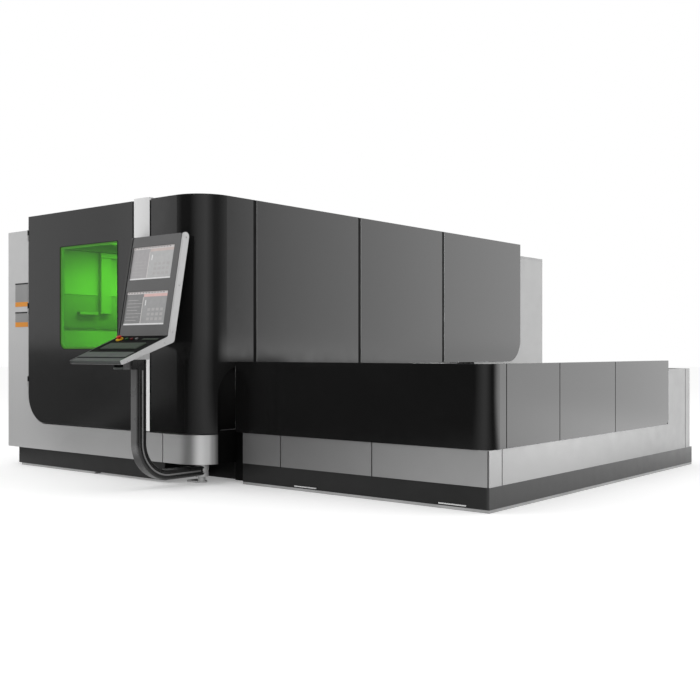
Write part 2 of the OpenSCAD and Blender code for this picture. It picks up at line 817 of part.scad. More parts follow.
// Dark front door with the opening for the laser glass
module front_door() {
    wx = -door_edge + window_in;
    wr = [70, 70, 14, 14];
    lr = [70 - window_ledge, 70 - window_ledge, 4, 4];
    color("#33363a") in_cabin() {
        difference() {
            front_plate(-door_edge, 0, band_h, door_w, skin_h - band_h, door_t, [skin_end_r, 0, 0, 0]);
            front_plate(wx, -1, window_low, window_w, window_h, 3 + window_t + 1, wr);
            front_plate(wx + window_ledge, -1, window_low + window_ledge, window_w - 2 * window_ledge,
                window_h - 2 * window_ledge, door_t + 2, lr);
            for (z = hinge_z) block([-door_edge - 1, -1, z - 1], [-door_edge + 9, 10, z + 100]);
        }
        for (z = hinge_z) difference() {
            union() {
                translate([hinge_x, hinge_y, z + 50.5]) cylinder(h = 48, r = 7);
                block([hinge_x, 0, z + 50.5], [-door_edge + 9, 10, z + 98.5]);
            }
            translate([hinge_x, hinge_y, z + 40]) cylinder(h = 70, r = 3.06);
        }
    }
}

// Green laser glass on its ledge
module door_window() {
    c = 0.5;
    color("#4f9a3a") in_cabin() front_plate(-door_edge + window_in + c, 3, window_low + c,
        window_w - 2 * c,
        window_h - 2 * c, window_t, [70, 70, 14, 14]);
}

// Pull handle near the free edge of the door
module door_handle() {
    x = -door_edge + door_w - 90;
    z = window_low - 40;
    color("#a7abaf") in_cabin() {
        for (h = [0, handle_l - 24]) translate([x + 12, 0, z + h + 12]) rotate([90, 0, 0])
            cylinder(h = 34, r = 9);
        block([x, -44, z], [x + 24, -34, z + handle_l]);
    }
}

gate_x = -skin_t - tube - 36;
gate_y0 = rail_y0 - 40;
gate_y1 = rail_y1 + 40;
gate_h = skin_low - sill_h + 40;

// Gate that closes the loading opening, shown raised
module loading_gate() {
    color("#84888c") in_cabin() {
        block([gate_x, gate_y0, skin_low + 12], [gate_x + 36 - play, gate_y1, skin_low + 12 + gate_h]);
    }
}

// Dark sheets beside the gate, before the sill, behind the pillar gaps and between the cabin and the table
module slot_covers() {
    x0 = gate_x + 36;
    z1 = skin_low + 10;
    yf = ty0 + 40;
    xl = pillar_x - pillar_gap - 12;
    xr = skin_x + 12;
    xp = pillar_x + pillar_w;
    color("#1a1b1d") in_cabin() {
        block([x0, slot_edge + 5 - tube, floor_z], [x0 + cover_t, rail_y0 - pallet_play, z1]);
        block([x0, rail_y1 + pallet_play, floor_z], [x0 + cover_t, slot_end, z1]);
        block([-skin_t, slot_edge + 12, plinth_h], [-skin_t + 8, yf - weld, sill_h]);
        block([-skin_t, yf, sole_h], [table_x0, yf + 18, band_h]);
        block([xl, skin_t, band_h + 45], [pillar_x + 60, skin_t + 6, frame_z - tube]);
        block([pillar_x + 60 + tube, skin_t, band_h], [xr, skin_t + 6, frame_z - tube]);
        block([xl, skin_t, body_h], [xr, skin_t + 6, skin_h - 10]);
        block([xp, 1, band_h], [xp + 6, skin_t - weld, skin_h - 10]);
    }
}

beam_x0 = beam_xl;
beam_x1 = beam_xr + beam_w;

// Gantry beam with its end trucks
module gantry_beam() {
    gy = gantry_y;
    ty = gy + gantry_d / 2 - 1;
    tx0 = beam_x0 + beam_w + 60;
    tx1 = beam_x1 - beam_w - 60;
    color("#c9ccce") in_cabin() {
        difference() {
            union() {
                for (x = [beam_xl, beam_xr]) block([x + 10, gy - truck_l / 2, beam_top + play],
                    [x + beam_w - 10, gy + truck_l / 2, beam_z]);
                block([beam_x0 + 10, gy - gantry_d / 2, beam_z - 1],
                    [beam_x1 - 10, gy + gantry_d / 2, beam_z + gantry_h]);
                block([tx0, ty, beam_z + 40], [tx1, ty + tray_d + 1, beam_z + 46]);
                block([tx0, ty + tray_d - 5, beam_z + 40], [tx1, ty + tray_d + 1, beam_z + 90]);
                for (z = [50, gantry_h - 70]) block([beam_x0 + beam_w + 20, gy - gantry_d / 2 - 20,
                    beam_z + z],
                    [beam_x1 - beam_w - 20, gy - gantry_d / 2 + 1, beam_z + z + 20]);
            }
            for (x = [beam_xl, beam_xr]) block([x + beam_w / 2 - 20 - play, gy - truck_l / 2 - 1,
                beam_top - 1],
                [x + beam_w / 2 + 20 + play, gy + truck_l / 2 + 1, rail_z + play]);
        }
    }
}

head_y = gantry_y - gantry_d / 2;

// Carriage that runs along the gantry beam
module cross_carriage() {
    x = -head_x - carriage_w / 2;
    y1 = head_y - play;
    color("#3f4347") in_cabin() {
        difference() {
            block([x, y1 - 62, beam_z + 14], [x + carriage_w, y1, beam_z + gantry_h - 8]);
            for (z = [50, gantry_h - 70]) block([x - 1, head_y - 20 - play, beam_z + z - play],
                [x + carriage_w + 1, head_y + 1, beam_z + z + 20 + play]);
            block([x + 70, y1 - 63, beam_z], [x + carriage_w - 70, y1 - 40, beam_z + gantry_h]);
        }
        block([x + carriage_w - 66, y1 - 60, beam_z + gantry_h - 9],
            [x + carriage_w - 4, y1 - 2, beam_z + gantry_h + motor_l]);
        translate([x + carriage_w - 35, y1 - 31, beam_z + gantry_h + motor_l - 1])
            cylinder(h = 31, r = 24);
    }
}

// Cutting head with its nozzle on a lifting plate
module cutting_head() {
    y = head_y - play - 62 - 8;
    color("#b8bcc0") in_cabin() {
        block([-head_x - carriage_w / 2 + 70 + play, y, nozzle_z + lift_low],
            [-head_x + carriage_w / 2 - 70 - play, y + 30 - play, nozzle_z + lift_low + lift_l]);
        translate([-head_x, y - head_w / 2, nozzle_z]) {
            cylinder(h = 40, r1 = 4, r2 = 14);
            translate([0, 0, 40]) cylinder(h = 60, r1 = 16, r2 = 26);
            translate([0, 0, 100]) cylinder(h = head_low - 100, r = 32);
            translate([-head_w / 2, -head_w / 2, head_low]) cube([head_w, head_w, head_l]);
            translate([0, 0, head_low + head_l]) {
                cylinder(h = 60, r = 30);
                translate([0, 0, 60]) cylinder(h = 70, r1 = 30, r2 = 14);
            }
        }
        block([-head_x - 30, y - head_w / 2 + 40, nozzle_z + lift_low],
            [-head_x + 30, y + 1, nozzle_z + head_low + head_l - 10]);
    }
}

// Ring frame of a pallet with ledges under the slats
module pallet(x, z) {
    y0 = rail_y0 + pallet_play;
    y1 = y0 + pallet_l;
    x0 = x - pallet_w / 2;
    x1 = x + pallet_w / 2;
    in_cabin() {
        bar([x0, y0, z], [x1, y0 + 60, z + pallet_frame_h]);
        bar([x0, y1 - 60, z], [x1, y1, z + pallet_frame_h]);
        bar([x0, y0 + 60, z], [x0 + 50, y1 - 60, z + pallet_frame_h]);
        bar([x1 - 50, y0 + 60, z], [x1, y1 - 60, z + pallet_frame_h]);
        for (i = [1:5]) bar([x0 + 50, y0 + 60 + i * (pallet_l - 120) / 6 - 25, z],
            [x1 - 50, y0 + 60 + i * (pallet_l - 120) / 6 + 25, z + 36]);
        for (s = [x0 + 50, x1 - 70]) for (i = [0:5]) {
            a = y0 + 60 + i * (pallet_l - 120) / 6 + (i > 0 ? 25 : 0);
            b = y0 + 60 + (i + 1) * (pallet_l - 120) / 6 - (i < 5 ? 25 : 0);
            bar([s, a, z + 26], [s + 20, b, z + 36]);
        }
    }
}

// Row of toothed slats standing on the ledges
module slats(x, z) {
    w = pallet_w - 100 - 2 * play;
    h = pallet_h - 36;
    n = floor(w / tooth_pitch);
    t = w / n;
    c = floor((pallet_l - 160) / slat_pitch);
    y = rail_y0 + pallet_play + pallet_l / 2 - c * slat_pitch / 2;
    p = [for (i = [0:n - 1]) each [[i * t, h - 26], [(i + 0.5) * t, h]]];
    in_cabin() for (i = [0:c]) translate([x - w / 2, y + i * slat_pitch + slat_t / 2, z + 36])
        rotate([90, 0, 0])
        linear_extrude(slat_t) polygon(concat([[w, h - 26], [w, 0], [0, 0]], p));
}

module upper_pallet() {
    color("#4a4d50") pallet(shop_x, rail_up + play);
}

module upper_slats() {
    color("#8a8d90") slats(shop_x, rail_up + play);
}

module lower_pallet() {
    color("#4a4d50") pallet(work_x, rail_low + play);
}

module lower_slats() {
    color("#8a8d90") slats(work_x, rail_low + play);
}

// Arm tube section with a groove in both sides
module arm_section() {
    difference() {
        translate([-arm_w / 2, -arm_d / 2]) plate(arm_w, arm_d, [14, 14, 14, 14]);
        for (s = [-1, 1]) translate([s * arm_w / 2 - groove_d, -groove_w / 2]) square([2 * groove_d,
            groove_w]);
    }
}

hub_r = post_r + 16;
arm_top = elbow_z - 173;
bend_r = arm_bend - arm_d / 2;

// Arm tube from the pivot post to the console
module console_arm() {
    y = post_y - arm_reach;
    color("#55585b") in_cabin() {
        difference() {
            union() {
                translate([post_x, post_y, arm_z - 45]) cylinder(h = 90, r = hub_r);
                translate([post_x, post_y, arm_z]) rotate([90, 0,
                    0]) linear_extrude(arm_reach - bend_r) arm_section();
            }
            translate([post_x, post_y, 0]) cylinder(h = plinth_h, r = post_r + 0.4);
        }
        translate([post_x, y + bend_r, arm_z + bend_r]) rotate([90, 180, 90]) rotate_extrude(angle = 90)
            translate([bend_r, 0]) rotate(90) arm_section();
        translate([post_x, y, arm_z + bend_r]) linear_extrude(arm_top - arm_z - bend_r) arm_section();
        translate([post_x - arm_w / 2, y - arm_d / 2 - head_out, arm_top - 74])
            cube([arm_w, head_out + arm_d / 2, 74]);
    }
}

// Silver wedge between the arm and the underside of the console
module console_bracket() {
    y0 = post_y - arm_reach - arm_d / 2 - 40;
    y1 = y0 + arm_d + 60;
    k = (elbow_out[1] - tip_low[1]) / (elbow_out[0] - tip_low[0]);
    z0 = tip_low[1] + k * (y0 - tip_low[0]) - weld;
    z1 = tip_low[1] + k * (y1 - tip_low[0]) - weld;
    color("#b2b5b7") in_cabin() translate([post_x - arm_w / 2 - 8, 0, 0])
        rotate([90, 0, 90]) linear_extrude(arm_w + 16)
        polygon([[y0, arm_top], [y1, arm_top], [y1, z1], [y0, z0]]);
}

// Angled side plates of the console with the flanges that carry the bezel
module console_side_plates() {
    fr = screen_w / 2 - screen_left + 11;
    fl = screen_w / 2 + screen_left + 11;
    fw = console_w / 2 - side_t + 1;
    p = rounded([tip, elbow, face_top, back_top, elbow_out, tip_low], [6, 14, 24, 34, 30, 8]);
    color("#b2b5b7") in_cabin() for (x = [console_x - console_w / 2, console_x + console_w / 2 - side_t])
        translate([x, 0, 0]) rotate([90, 0, 90]) linear_extrude(side_t) polygon(p);
    color("#b2b5b7") in_cabin() tilt_face() {
        translate([fr, 24, -26]) cube([fw - fr, face_l - 70, 12 - weld]);
        translate([-fw, 24, -26]) cube([fw - fl, face_l - 70, 12 - weld]);
    }
}

// Back and underside sheet between the side plates
module console_back() {
    w = console_w - 2 * side_t;
    color("#77797c") in_cabin() {
        translate([console_x - w / 2, 0, 0]) rotate([90, 0, 90]) linear_extrude(w)
            polygon([elbow_out, back_top, back_top - 6 * face_n, elbow_out + [-7, 4],
                tip_low - 6 * deck_n, tip_low]);
    }
}

// Grey bezel with two screen openings
module console_face() {
    w = console_w - 2 * side_t - 16;
    color("#66686b") in_cabin() tilt_face() difference() {
        translate([-w / 2, 8, -14]) linear_extrude(11) plate(w, face_l - 16, [0, 0, 20, 20]);
        for (s = [screen_low, screen_low + screen_step])
            translate([-screen_w / 2 - screen_left, s, -20]) cube([screen_w, screen_h, 30]);
    }
}

// Two flat screens behind the bezel
module screens() {
    color("#1d2a3a") in_cabin() tilt_face() for (s = [screen_low, screen_low + screen_step])
        translate([-screen_w / 2 - screen_left - 10, s - 10, -24]) cube([screen_w + 20, screen_h + 20,
            10]);
}

estop_x = -console_w / 2 + estop_in;
button_x = [for (i = [0:2]) -console_w / 2 + button_left + i * button_step];
button_y = -button_in;

// Black control deck with the button bores
module control_deck() {
    w = console_w - 2 * side_t;
    color("#1b1c1e") in_cabin() tilt_deck() difference() {
        translate([-w / 2, -deck_l + 60, -12]) cube([w, deck_l - 66, 10]);
        translate([estop_x, button_y, -20]) cylinder(h = 30, r = 11);
        for (x = button_x) translate([x, button_y, -20]) cylinder(h = 30, r = 9);
    }
}

// Keyboard plate on the deck
module keyboard() {
    x = -key_w / 2 - 5;
    y = -key_in - key_d;
    u = (key_w - 14) / 14;
    v = (key_d - 9.5) / 5;
    color("#6f7166") in_cabin() tilt_deck() {
        translate([x, y, -2 + weld / 4]) cube([key_w, key_d, 8]);
        for (r = [0:4]) for (c = [0:13]) translate([x + 8 + c * u, y + 7 + r * v, 5])
            cube([u - 5, v - 4.5, 4]);
    }
}

// Grey shelf along the front of the deck
module front_shelf() {
    w = console_w - 2 * side_t;
    color("#7b7d7f") in_cabin() tilt_deck() {
        translate([-w / 2, -deck_l + 2, -22]) cube([w, 57.6, 20]);
    }
}

module estop_base() {
    color("#d9b21c") in_cabin() tilt_deck() translate([estop_x, button_y, -2]) difference() {
        cylinder(h = 8, r = 30);
        translate([0, 0, -1]) cylinder(h = 10, r = 10);
    }
}

module estop_button() {
    color("#b3201c") in_cabin() tilt_deck() translate([estop_x, button_y, 0]) {
        translate([0, 0, -16]) cylinder(h = 32, r = 9.7);
        translate([0, 0, 14]) cylinder(h = 10, r1 = 20, r2 = 22);
        translate([0, 0, 24]) cylinder(h = 5, r1 = 22, r2 = 16);
    }
}

module push_button(i, c) {
    color(c) in_cabin() tilt_deck() translate([button_x[i], button_y, 0]) {
        translate([0, 0, -14]) cylinder(h = 18, r = 8.7);
        translate([0, 0, 4]) cylinder(h = 6, r = 13);
    }
}

module start_button() {
    push_button(0, "#2f8f3a");
}

module stop_button() {
    push_button(1, "#a82a22");
}

module reset_button() {
    push_button(2, "#d0d2d4");
}

// Louvred service door in the back wall
module rear_door(x, s) {
    y = cabin_w - panel_t;
    h = rear_z1 - rear_z0;
    hx = s > 0 ? x : x + rear_w;
    color("#a4a7a9") in_cabin() {
        difference() {
            front_plate(x, y + play, rear_z0, rear_w, h, panel_t - play);
            for (i = [0:9]) block([x + 160, y - 1, rear_z0 + 140 + 34 * i],
                [x + rear_w - 160, cabin_w + 1,
                rear_z0 + 152 + 34 * i]);
        }
        block([s > 0 ? x + rear_w - 80 : x + 50, cabin_w - 1, rear_z0 + h / 2 - 60],
            [s > 0 ? x + rear_w - 50 : x + 80,
            cabin_w + 22, rear_z0 + h / 2 + 60]);
        for (z = rear_hz) translate([hx, cabin_w + rear_hy, z + 30.5]) difference() {
            union() {
                cylinder(h = 30, r = 8);
                translate([s > 0 ? 0 : -44, -rear_hy - 1, 0]) cube([44, 6, 30]);
            }
            translate([0, 0, -1]) cylinder(h = 40, r = 3.06);
        }
    }
}

// Fixed halves of the service door hinges with their pins
module rear_hinges() {
    color("#8b8f93") in_cabin() for (d = [[rear_xl, -1], [rear_xr + rear_w, 1]]) for (z = rear_hz)
        translate([d[0], cabin_w + rear_hy, z]) {
            cylinder(h = 30, r = 8);
            cylinder(h = 60, r = 3);
            translate([d[1] > 0 ? 0 : -48, -rear_hy, 0]) cube([48, 5, 30]);
        }
}

module rear_door_left() {
    rear_door(rear_xl, 1);
}

module rear_door_right() {
    rear_door(rear_xr, -1);
}

// Gland for the supply cable in the back wall
module cable_gland() {
    color("#3c3e40") in_cabin() translate([-cabin_l / 2 - 20, cabin_w, plinth_h + 120])
        rotate([-90, 0, 0]) difference() {
        union() {
            cylinder(h = 6, r = 34, $fn = 6);
            cylinder(h = rear_reach, r = 24);
        }
        translate([0, 0, 6]) cylinder(h = rear_reach, r = 16);
    }
}

sole_strips();
cabin_plinth();
cabin_frame();
machine_bed();
gantry_rails();
pallet_rails();
front_body_panel();
corner_band();
left_end_panels();
rear_panels();
side_rear_panels();
roof_panels();
exhaust_collar();
light_pillar();
corner_skin();
side_skin_front();
side_skin_middle();
side_skin_rear();
partition_wall();
laser_source();
control_cabinet();
pivot_post();
table_plinth();
table_frame();
table_front_skin();
table_side_skin();
table_band_front();
table_band_side();
table_rear_skin();
door_hinges();
front_door();
door_window();
door_handle();
loading_gate();
gantry_beam();
cross_carriage();
cutting_head();
upper_pallet();
upper_slats();
lower_pallet();
lower_slats();
console_arm();
console_bracket();
console_side_plates();
console_back();
console_face();
screens();
control_deck();
keyboard();
front_shelf();
estop_base();
estop_button();
start_button();
stop_button();
reset_button();
rear_door_left();
rear_door_right();
rear_hinges();
cable_gland();
slot_covers();
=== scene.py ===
import math

import bmesh
import bpy
from mathutils import Matrix, Vector


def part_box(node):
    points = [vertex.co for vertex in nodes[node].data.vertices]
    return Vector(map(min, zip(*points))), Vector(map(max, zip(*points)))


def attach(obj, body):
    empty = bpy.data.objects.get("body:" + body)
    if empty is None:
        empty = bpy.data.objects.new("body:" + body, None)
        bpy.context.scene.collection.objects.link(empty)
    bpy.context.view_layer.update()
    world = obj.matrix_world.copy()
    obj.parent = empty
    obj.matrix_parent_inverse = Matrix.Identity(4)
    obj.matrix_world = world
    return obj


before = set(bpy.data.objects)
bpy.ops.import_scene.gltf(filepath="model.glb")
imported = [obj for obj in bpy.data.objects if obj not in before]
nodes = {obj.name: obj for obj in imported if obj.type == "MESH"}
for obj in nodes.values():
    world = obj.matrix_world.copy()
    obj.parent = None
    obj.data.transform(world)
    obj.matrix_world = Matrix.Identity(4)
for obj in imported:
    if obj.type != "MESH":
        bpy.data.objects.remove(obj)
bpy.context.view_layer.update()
scene = bpy.context.scene
scene.view_settings.view_transform = "Standard"
print("frame loaded:", len(nodes), "nodes")

# the cabin frame of the source: x 0 is the loading face, y 0 the front face
doorProud = 0.008  # metres from the front face out to the face of the door
cabinShift = Vector((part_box("side_skin_front")[1].x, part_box("front_door")[0].y + doorProud, 0))


def at(x, y, z):
    # millimetres from the loading face and the front face, to metres in the row frame
    return Vector((x / 1000, y / 1000, z / 1000)) + cabinShift


def mm(*values):
    return Vector([value / 1000 for value in values])


def span(axis, low, high):
    # two places on one axis of the cabin frame, given in the row frame
    return (axis, *(at(v, v, v)["XYZ".index(axis)] for v in (low, high)))


def tone(v):
    # screen grey 0-255 to linear
    c = v / 255
    return c / 12.92 if c <= 0.04045 else ((c + 0.055) / 1.055) ** 2.4


def shade(r, g=None, b=None):
    return (tone(r), tone(r if g is None else g), tone(r if b is None else b), 1)


def even(level):
    return (level, level, level, 1)


def lift(colour, by):
    return tuple(min(1, c * by) for c in colour[:3]) + (1,)


def put(node, **values):
    for key, value in values.items():
        node.inputs[key].default_value = value
    return node


def tree(name):
    material = bpy.data.materials.new(name)
    material.use_nodes = True
    net = material.node_tree
    return material, net, net.nodes["Principled BSDF"]


def add(net, kind, **settings):
    node = net.nodes.new(kind)
    for key, value in settings.items():
        setattr(node, key, value)
    return node


def noiseOf(net, scale, detail=2.0, stretch=None):
    place = add(net, "ShaderNodeTexCoord").outputs["Object"]
    if stretch:
        mapping = put(add(net, "ShaderNodeMapping"), Scale=stretch)
        net.links.new(place, mapping.inputs["Vector"])
        place = mapping.outputs["Vector"]
    noise = put(add(net, "ShaderNodeTexNoise"), Scale=scale, Detail=detail)
    net.links.new(place, noise.inputs["Vector"])
    return noise.outputs["Fac"]


def spread(net, value, low, high, fromLow=0.3, fromHigh=0.7, smooth=False):
    kind = "SMOOTHSTEP" if smooth else "LINEAR"
    node = add(net, "ShaderNodeMapRange", clamp=True, interpolation_type=kind)
    put(node, **{"From Min": fromLow, "From Max": fromHigh, "To Min": low, "To Max": high})
    net.links.new(value, node.inputs["Value"])
    return node.outputs["Result"]


def along(net, axis, low, high, smooth=True):
    # 0 to 1 between two places on one axis of the row frame
    coords = add(net, "ShaderNodeTexCoord")
    split = add(net, "ShaderNodeSeparateXYZ")
    net.links.new(coords.outputs["Object"], split.inputs["Vector"])
    return spread(net, split.outputs[axis], 0, 1, low, high, smooth)


def blendOf(net, factor, a, b):
    mix = add(net, "ShaderNodeMix", data_type="RGBA")
    net.links.new(factor, mix.inputs["Factor"])
    for socket, value in ((mix.inputs["A"], a), (mix.inputs["B"], b)):
        if isinstance(value, bpy.types.NodeSocket):
            net.links.new(value, socket)
        else:
            socket.default_value = value
    return mix.outputs["Result"]


def rampOf(net, value, stops):
    # colour ramp with stops of place and colour
    node = add(net, "ShaderNodeValToRGB")
    net.links.new(value, node.inputs["Fac"])
    elements = node.color_ramp.elements
    while len(elements) < len(stops):
        elements.new(0.5)  # the place is set below
    for element, (place, colour) in zip(elements, stops):
        element.position = place
        element.color = colour
    return node


# what a finish has where it names nothing else; depth and edge are in metres
plainFinish = {
    "mottle": 0.05, "mottleScale": 2.5, "mottleDetail": 4, "rough": 0.4, "vary": 0.05, "roughScale": 9,
    "roughDetail": 3, "stretch": None, "metal": 0, "gloss": 0.5, "bump": 0.04, "bumpScale": 420,
    "bumpDetail": 2, "depth": 0.0006, "edge": 0.0025,
}


def surface(net, bsdf, colour, finish):
    # mottle in the colour, worn roughness, fine bump and softened edges
    f = {**plainFinish, **finish}
    dark, pale = 1 - f["mottle"], 1 + f["mottle"]
    grain = spread(net, noiseOf(net, f["mottleScale"], f["mottleDetail"]), 0, 1)
    if isinstance(colour, bpy.types.NodeSocket):
        mottled = add(net, "ShaderNodeMix", data_type="RGBA", blend_type="MULTIPLY")
        mottled.inputs["Factor"].default_value = 1
        net.links.new(colour, mottled.inputs["A"])
        net.links.new(blendOf(net, grain, even(dark), even(1)), mottled.inputs["B"])
        tint = mottled.outputs["Result"]
    else:
        tint = blendOf(net, grain, lift(colour, dark), lift(colour, pale))
    net.links.new(tint, bsdf.inputs["Base Color"])
    worn = noiseOf(net, f["roughScale"], f["roughDetail"], f["stretch"])
    rough = spread(net, worn, f["rough"] - f["vary"], f["rough"] + f["vary"])
    net.links.new(rough, bsdf.inputs["Roughness"])
    put(bsdf, **{"Metallic": f["metal"], "Specular IOR Level": f["gloss"]})
    bump = put(add(net, "ShaderNodeBump"), Strength=f["bump"], Distance=f["depth"])
    pores = noiseOf(net, f["bumpScale"], f["bumpDetail"], f["stretch"])
    net.links.new(pores, bump.inputs["Height"])
    if f["edge"]:
        edge = put(add(net, "ShaderNodeBevel", samples=3), Radius=f["edge"])
        net.links.new(edge.outputs["Normal"], bump.inputs["Normal"])
    net.links.new(bump.outputs["Normal"], bsdf.inputs["Normal"])


def painted(name, colour, **finish):
    material, net, bsdf = tree(name)
    surface(net, bsdf, colour, finish)
    return material


def fading(name, colours, fade, **finish):
    # paint that runs from one tone to another along an axis
    material, net, bsdf = tree(name)
    surface(net, bsdf, blendOf(net, along(net, *fade), *colours), finish)
    return material


glowFinish = {"grain": 30, "detail": 3, "dark": 0.95, "pale": 1.03, "rough": 0.25, "gloss": 0.3}


def glow(name, colour, strength):
    # lit from within, with a faint grain
    g = glowFinish
    material, net, bsdf = tree(name)
    grain = spread(net, noiseOf(net, g["grain"], g["detail"]), 0, 1)
    tint = blendOf(net, grain, lift(colour, g["dark"]), lift(colour, g["pale"]))
    net.links.new(tint, bsdf.inputs["Base Color"])
    net.links.new(tint, bsdf.inputs["Emission Color"])
    put(bsdf, **{"Emission Strength": strength, "Roughness": g["rough"], "Specular IOR Level": g["gloss"]})
    return material


def dress(material, *names):
    for name in names:
        slots = nodes[name].material_slots
        if not slots:
            nodes[name].data.materials.append(material)
        for slot in slots:
            slot.material = material


weld = 0.00002  # metres within which points are merged


def dataOf(name, mesh):
    data = bpy.data.meshes.new(name)
    mesh.to_mesh(data)
    mesh.free()
    return data


def shown(name, data):
    thing = bpy.data.objects.new(name, data)
    scene.collection.objects.link(thing)
    return thing


def keep(name, mesh, material, body, smooth=False):
    # a finished bmesh becomes a piece that sits at the origin and rides its body
    bmesh.ops.remove_doubles(mesh, verts=mesh.verts, dist=weld)
    bmesh.ops.recalc_face_normals(mesh, faces=mesh.faces)
    data = dataOf(name, mesh)
    for item in material if isinstance(material, (list, tuple)) else [material]:
        data.materials.append(item)
    for face in data.polygons:
        face.use_smooth = smooth
    piece = shown(name, data)
    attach(piece, body)


def vertsOf(geom):
    return [v for v in geom if isinstance(v, bmesh.types.BMVert)]


def brick(mesh, low, high, soft=0.0, place=None, segments=2, paint=0):
    # block between two corners in metres, its edges softened by some millimetres
    made = bmesh.ops.create_cube(mesh, size=1)["verts"]
    bmesh.ops.scale(mesh, vec=high - low, verts=made)
    bmesh.ops.translate(mesh, vec=(low + high) / 2, verts=made)
    if soft:
        edges = list({e for v in made for e in v.link_edges})
        faces = bmesh.ops.bevel(mesh, geom=edges, offset=soft / 1000, affect="EDGES", segments=segments,
                                profile=0.5, material=-1)["faces"]
        made = list({v for f in faces for v in f.verts} | {v for v in made if v.is_valid})
    for face in {f for v in made for f in v.link_faces}:
        face.material_index = paint
    if place is not None:
        bmesh.ops.transform(mesh, matrix=place, verts=made)


def turned(mesh, profile, place, steps=24, paint=0):
    # profile of radius and height in millimetres, spun round the local Z axis
    verts = [mesh.verts.new(mm(r, 0, z)) for r, z in profile]
    edges = [mesh.edges.new(pair) for pair in zip(verts, verts[1:])]
    old = set(mesh.verts) - set(verts)
    bmesh.ops.spin(mesh, geom=verts + edges, cent=(0, 0, 0), axis=(0, 0, 1), angle=math.tau, steps=steps,
                   use_merge=True)
    made = [v for v in mesh.verts if v not in old]
    bmesh.ops.remove_doubles(mesh, verts=made, dist=weld)
    made = [v for v in mesh.verts if v not in old]
    for face in {f for v in made for f in v.link_faces}:
        face.material_index = paint
    bmesh.ops.transform(mesh, matrix=place, verts=made)


def pushed(mesh, face, by):
    # extrudes one face and gives back its new end
    made = bmesh.ops.extrude_face_region(mesh, geom=[face])["geom"]
    bmesh.ops.translate(mesh, vec=by, verts=vertsOf(made))
    return [f for f in made if isinstance(f, bmesh.types.BMFace)][0]


# finishes: greys on the scale of 0-255, and the coats that most of the sheets share
# the near-white for the pillar's foot is a painted light, and the grey for the back sheets a painted shade of
# the silver
paints = {
    "gloss": 20, "silver": 178, "back": 150, "pillar": 216, "pillarLitFoot": 252, "plinth": 12, "frame": 110,
    "inner": 190,
}
glossCoat = {"rough": 0.13, "vary": 0.02, "mottle": 0.08, "bump": 0.015}
satinCoat = {"rough": 0.36, "vary": 0.04, "metal": 0.35, "mottle": 0.025, "bump": 0.03}
backCoat = {**satinCoat, "metal": 0.2, "mottle": 0.04}

# sheets and skins
skinGloss = painted("skinGloss", shade(paints["gloss"]), **glossCoat)
fenceGloss = painted("fenceGloss", shade(paints["gloss"]), **glossCoat, edge=0)
# front silver: painted light, lighter towards the left end and painted shade towards the door
silverFrontShaded = fading("silverFrontShaded", (shade(191), shade(168)), span("X", -2450, -1500), **satinCoat)
silver = painted("silverPanel", shade(paints["silver"]), **satinCoat)
# back sheets: a darker copy of the silver, a painted shade against the bright light on the back
silverBackShaded = painted("silverBackShaded", shade(paints["back"]), **backCoat)
# table side bands: painted shade, darker towards the far end
silverSideShaded = fading("silverSideShaded", (shade(172), shade(130)), span("Y", 900, 3900), **satinCoat)
# table front band: painted shade, darker at the left towards the cabin
silverLowShaded = fading("silverLowShaded", (shade(118), shade(156)), span("X", 500, 2300), **satinCoat)
roofSheet = painted("roofSheet", shade(150), rough=0.45, metal=0.2, mottle=0.05)
# light pillar: painted light, its foot below the console paler than the rest
pillarWhite = fading("pillarWhite", (shade(paints["pillarLitFoot"]), shade(paints["pillar"])),
                     span("Z", 1000, 1060), rough=0.35, mottle=0.012)
plinthPaint = painted("plinthPaint", shade(paints["plinth"]), rough=0.34, mottle=0.12, gloss=0.3)
# table plinth: painted light, the right end paler than the front
plinthTableLitEnd = fading("plinthTableLitEnd", (shade(14), shade(60)), span("X", 2290, 2326),
                     rough=0.34, mottle=0.12, gloss=0.35)
coverBlack = painted("coverBlack", shade(6), rough=0.55, mottle=0.1, gloss=0.08, edge=0)
soleGrey = painted("soleGrey", shade(170), rough=0.6, mottle=0.15, bump=0.12)

# frames, bed, rails and pallets
frameGrey = painted("frameGrey", shade(paints["frame"]), rough=0.55, mottle=0.1, bump=0.1)
innerGrey = painted("innerGrey", shade(paints["inner"]), rough=0.55, mottle=0.05)
bedGrey = painted("bedGrey", shade(175), rough=0.6, mottle=0.12, bump=0.15)
groundSteel = painted("groundSteel", shade(190), rough=0.28, metal=1, mottle=0.04, stretch=(1, 60, 60),
                      bump=0.06)
railSteel = painted("railSteel", shade(170), rough=0.35, metal=1, mottle=0.08, stretch=(60, 1, 60), bump=0.06)
# slats: painted shade, darker lower down
slatSteelShaded = fading("slatSteelShaded", (shade(92, 88, 84), shade(150, 146, 142)), span("Z", 550, 900), rough=0.5,
                   metal=0.85, mottle=0.25, mottleScale=14, bump=0.25, depth=0.002, edge=0.0008)
palletSteel = painted("palletSteel", shade(82, 84, 86), rough=0.55, mottle=0.18, mottleScale=8, bump=0.2)
castAlloy = painted("castAlloy", shade(205), rough=0.38, metal=0.9, mottle=0.05)
beamPaint = painted("beamPaint", shade(205), rough=0.45, mottle=0.04)
carriageDark = painted("carriageDark", shade(60), rough=0.4, mottle=0.06)
sourceWhite = painted("sourceWhite", shade(214), rough=0.35, mottle=0.03, edge=0.001)
cabinetGrey = painted("cabinetGrey", shade(190), rough=0.5, mottle=0.04)
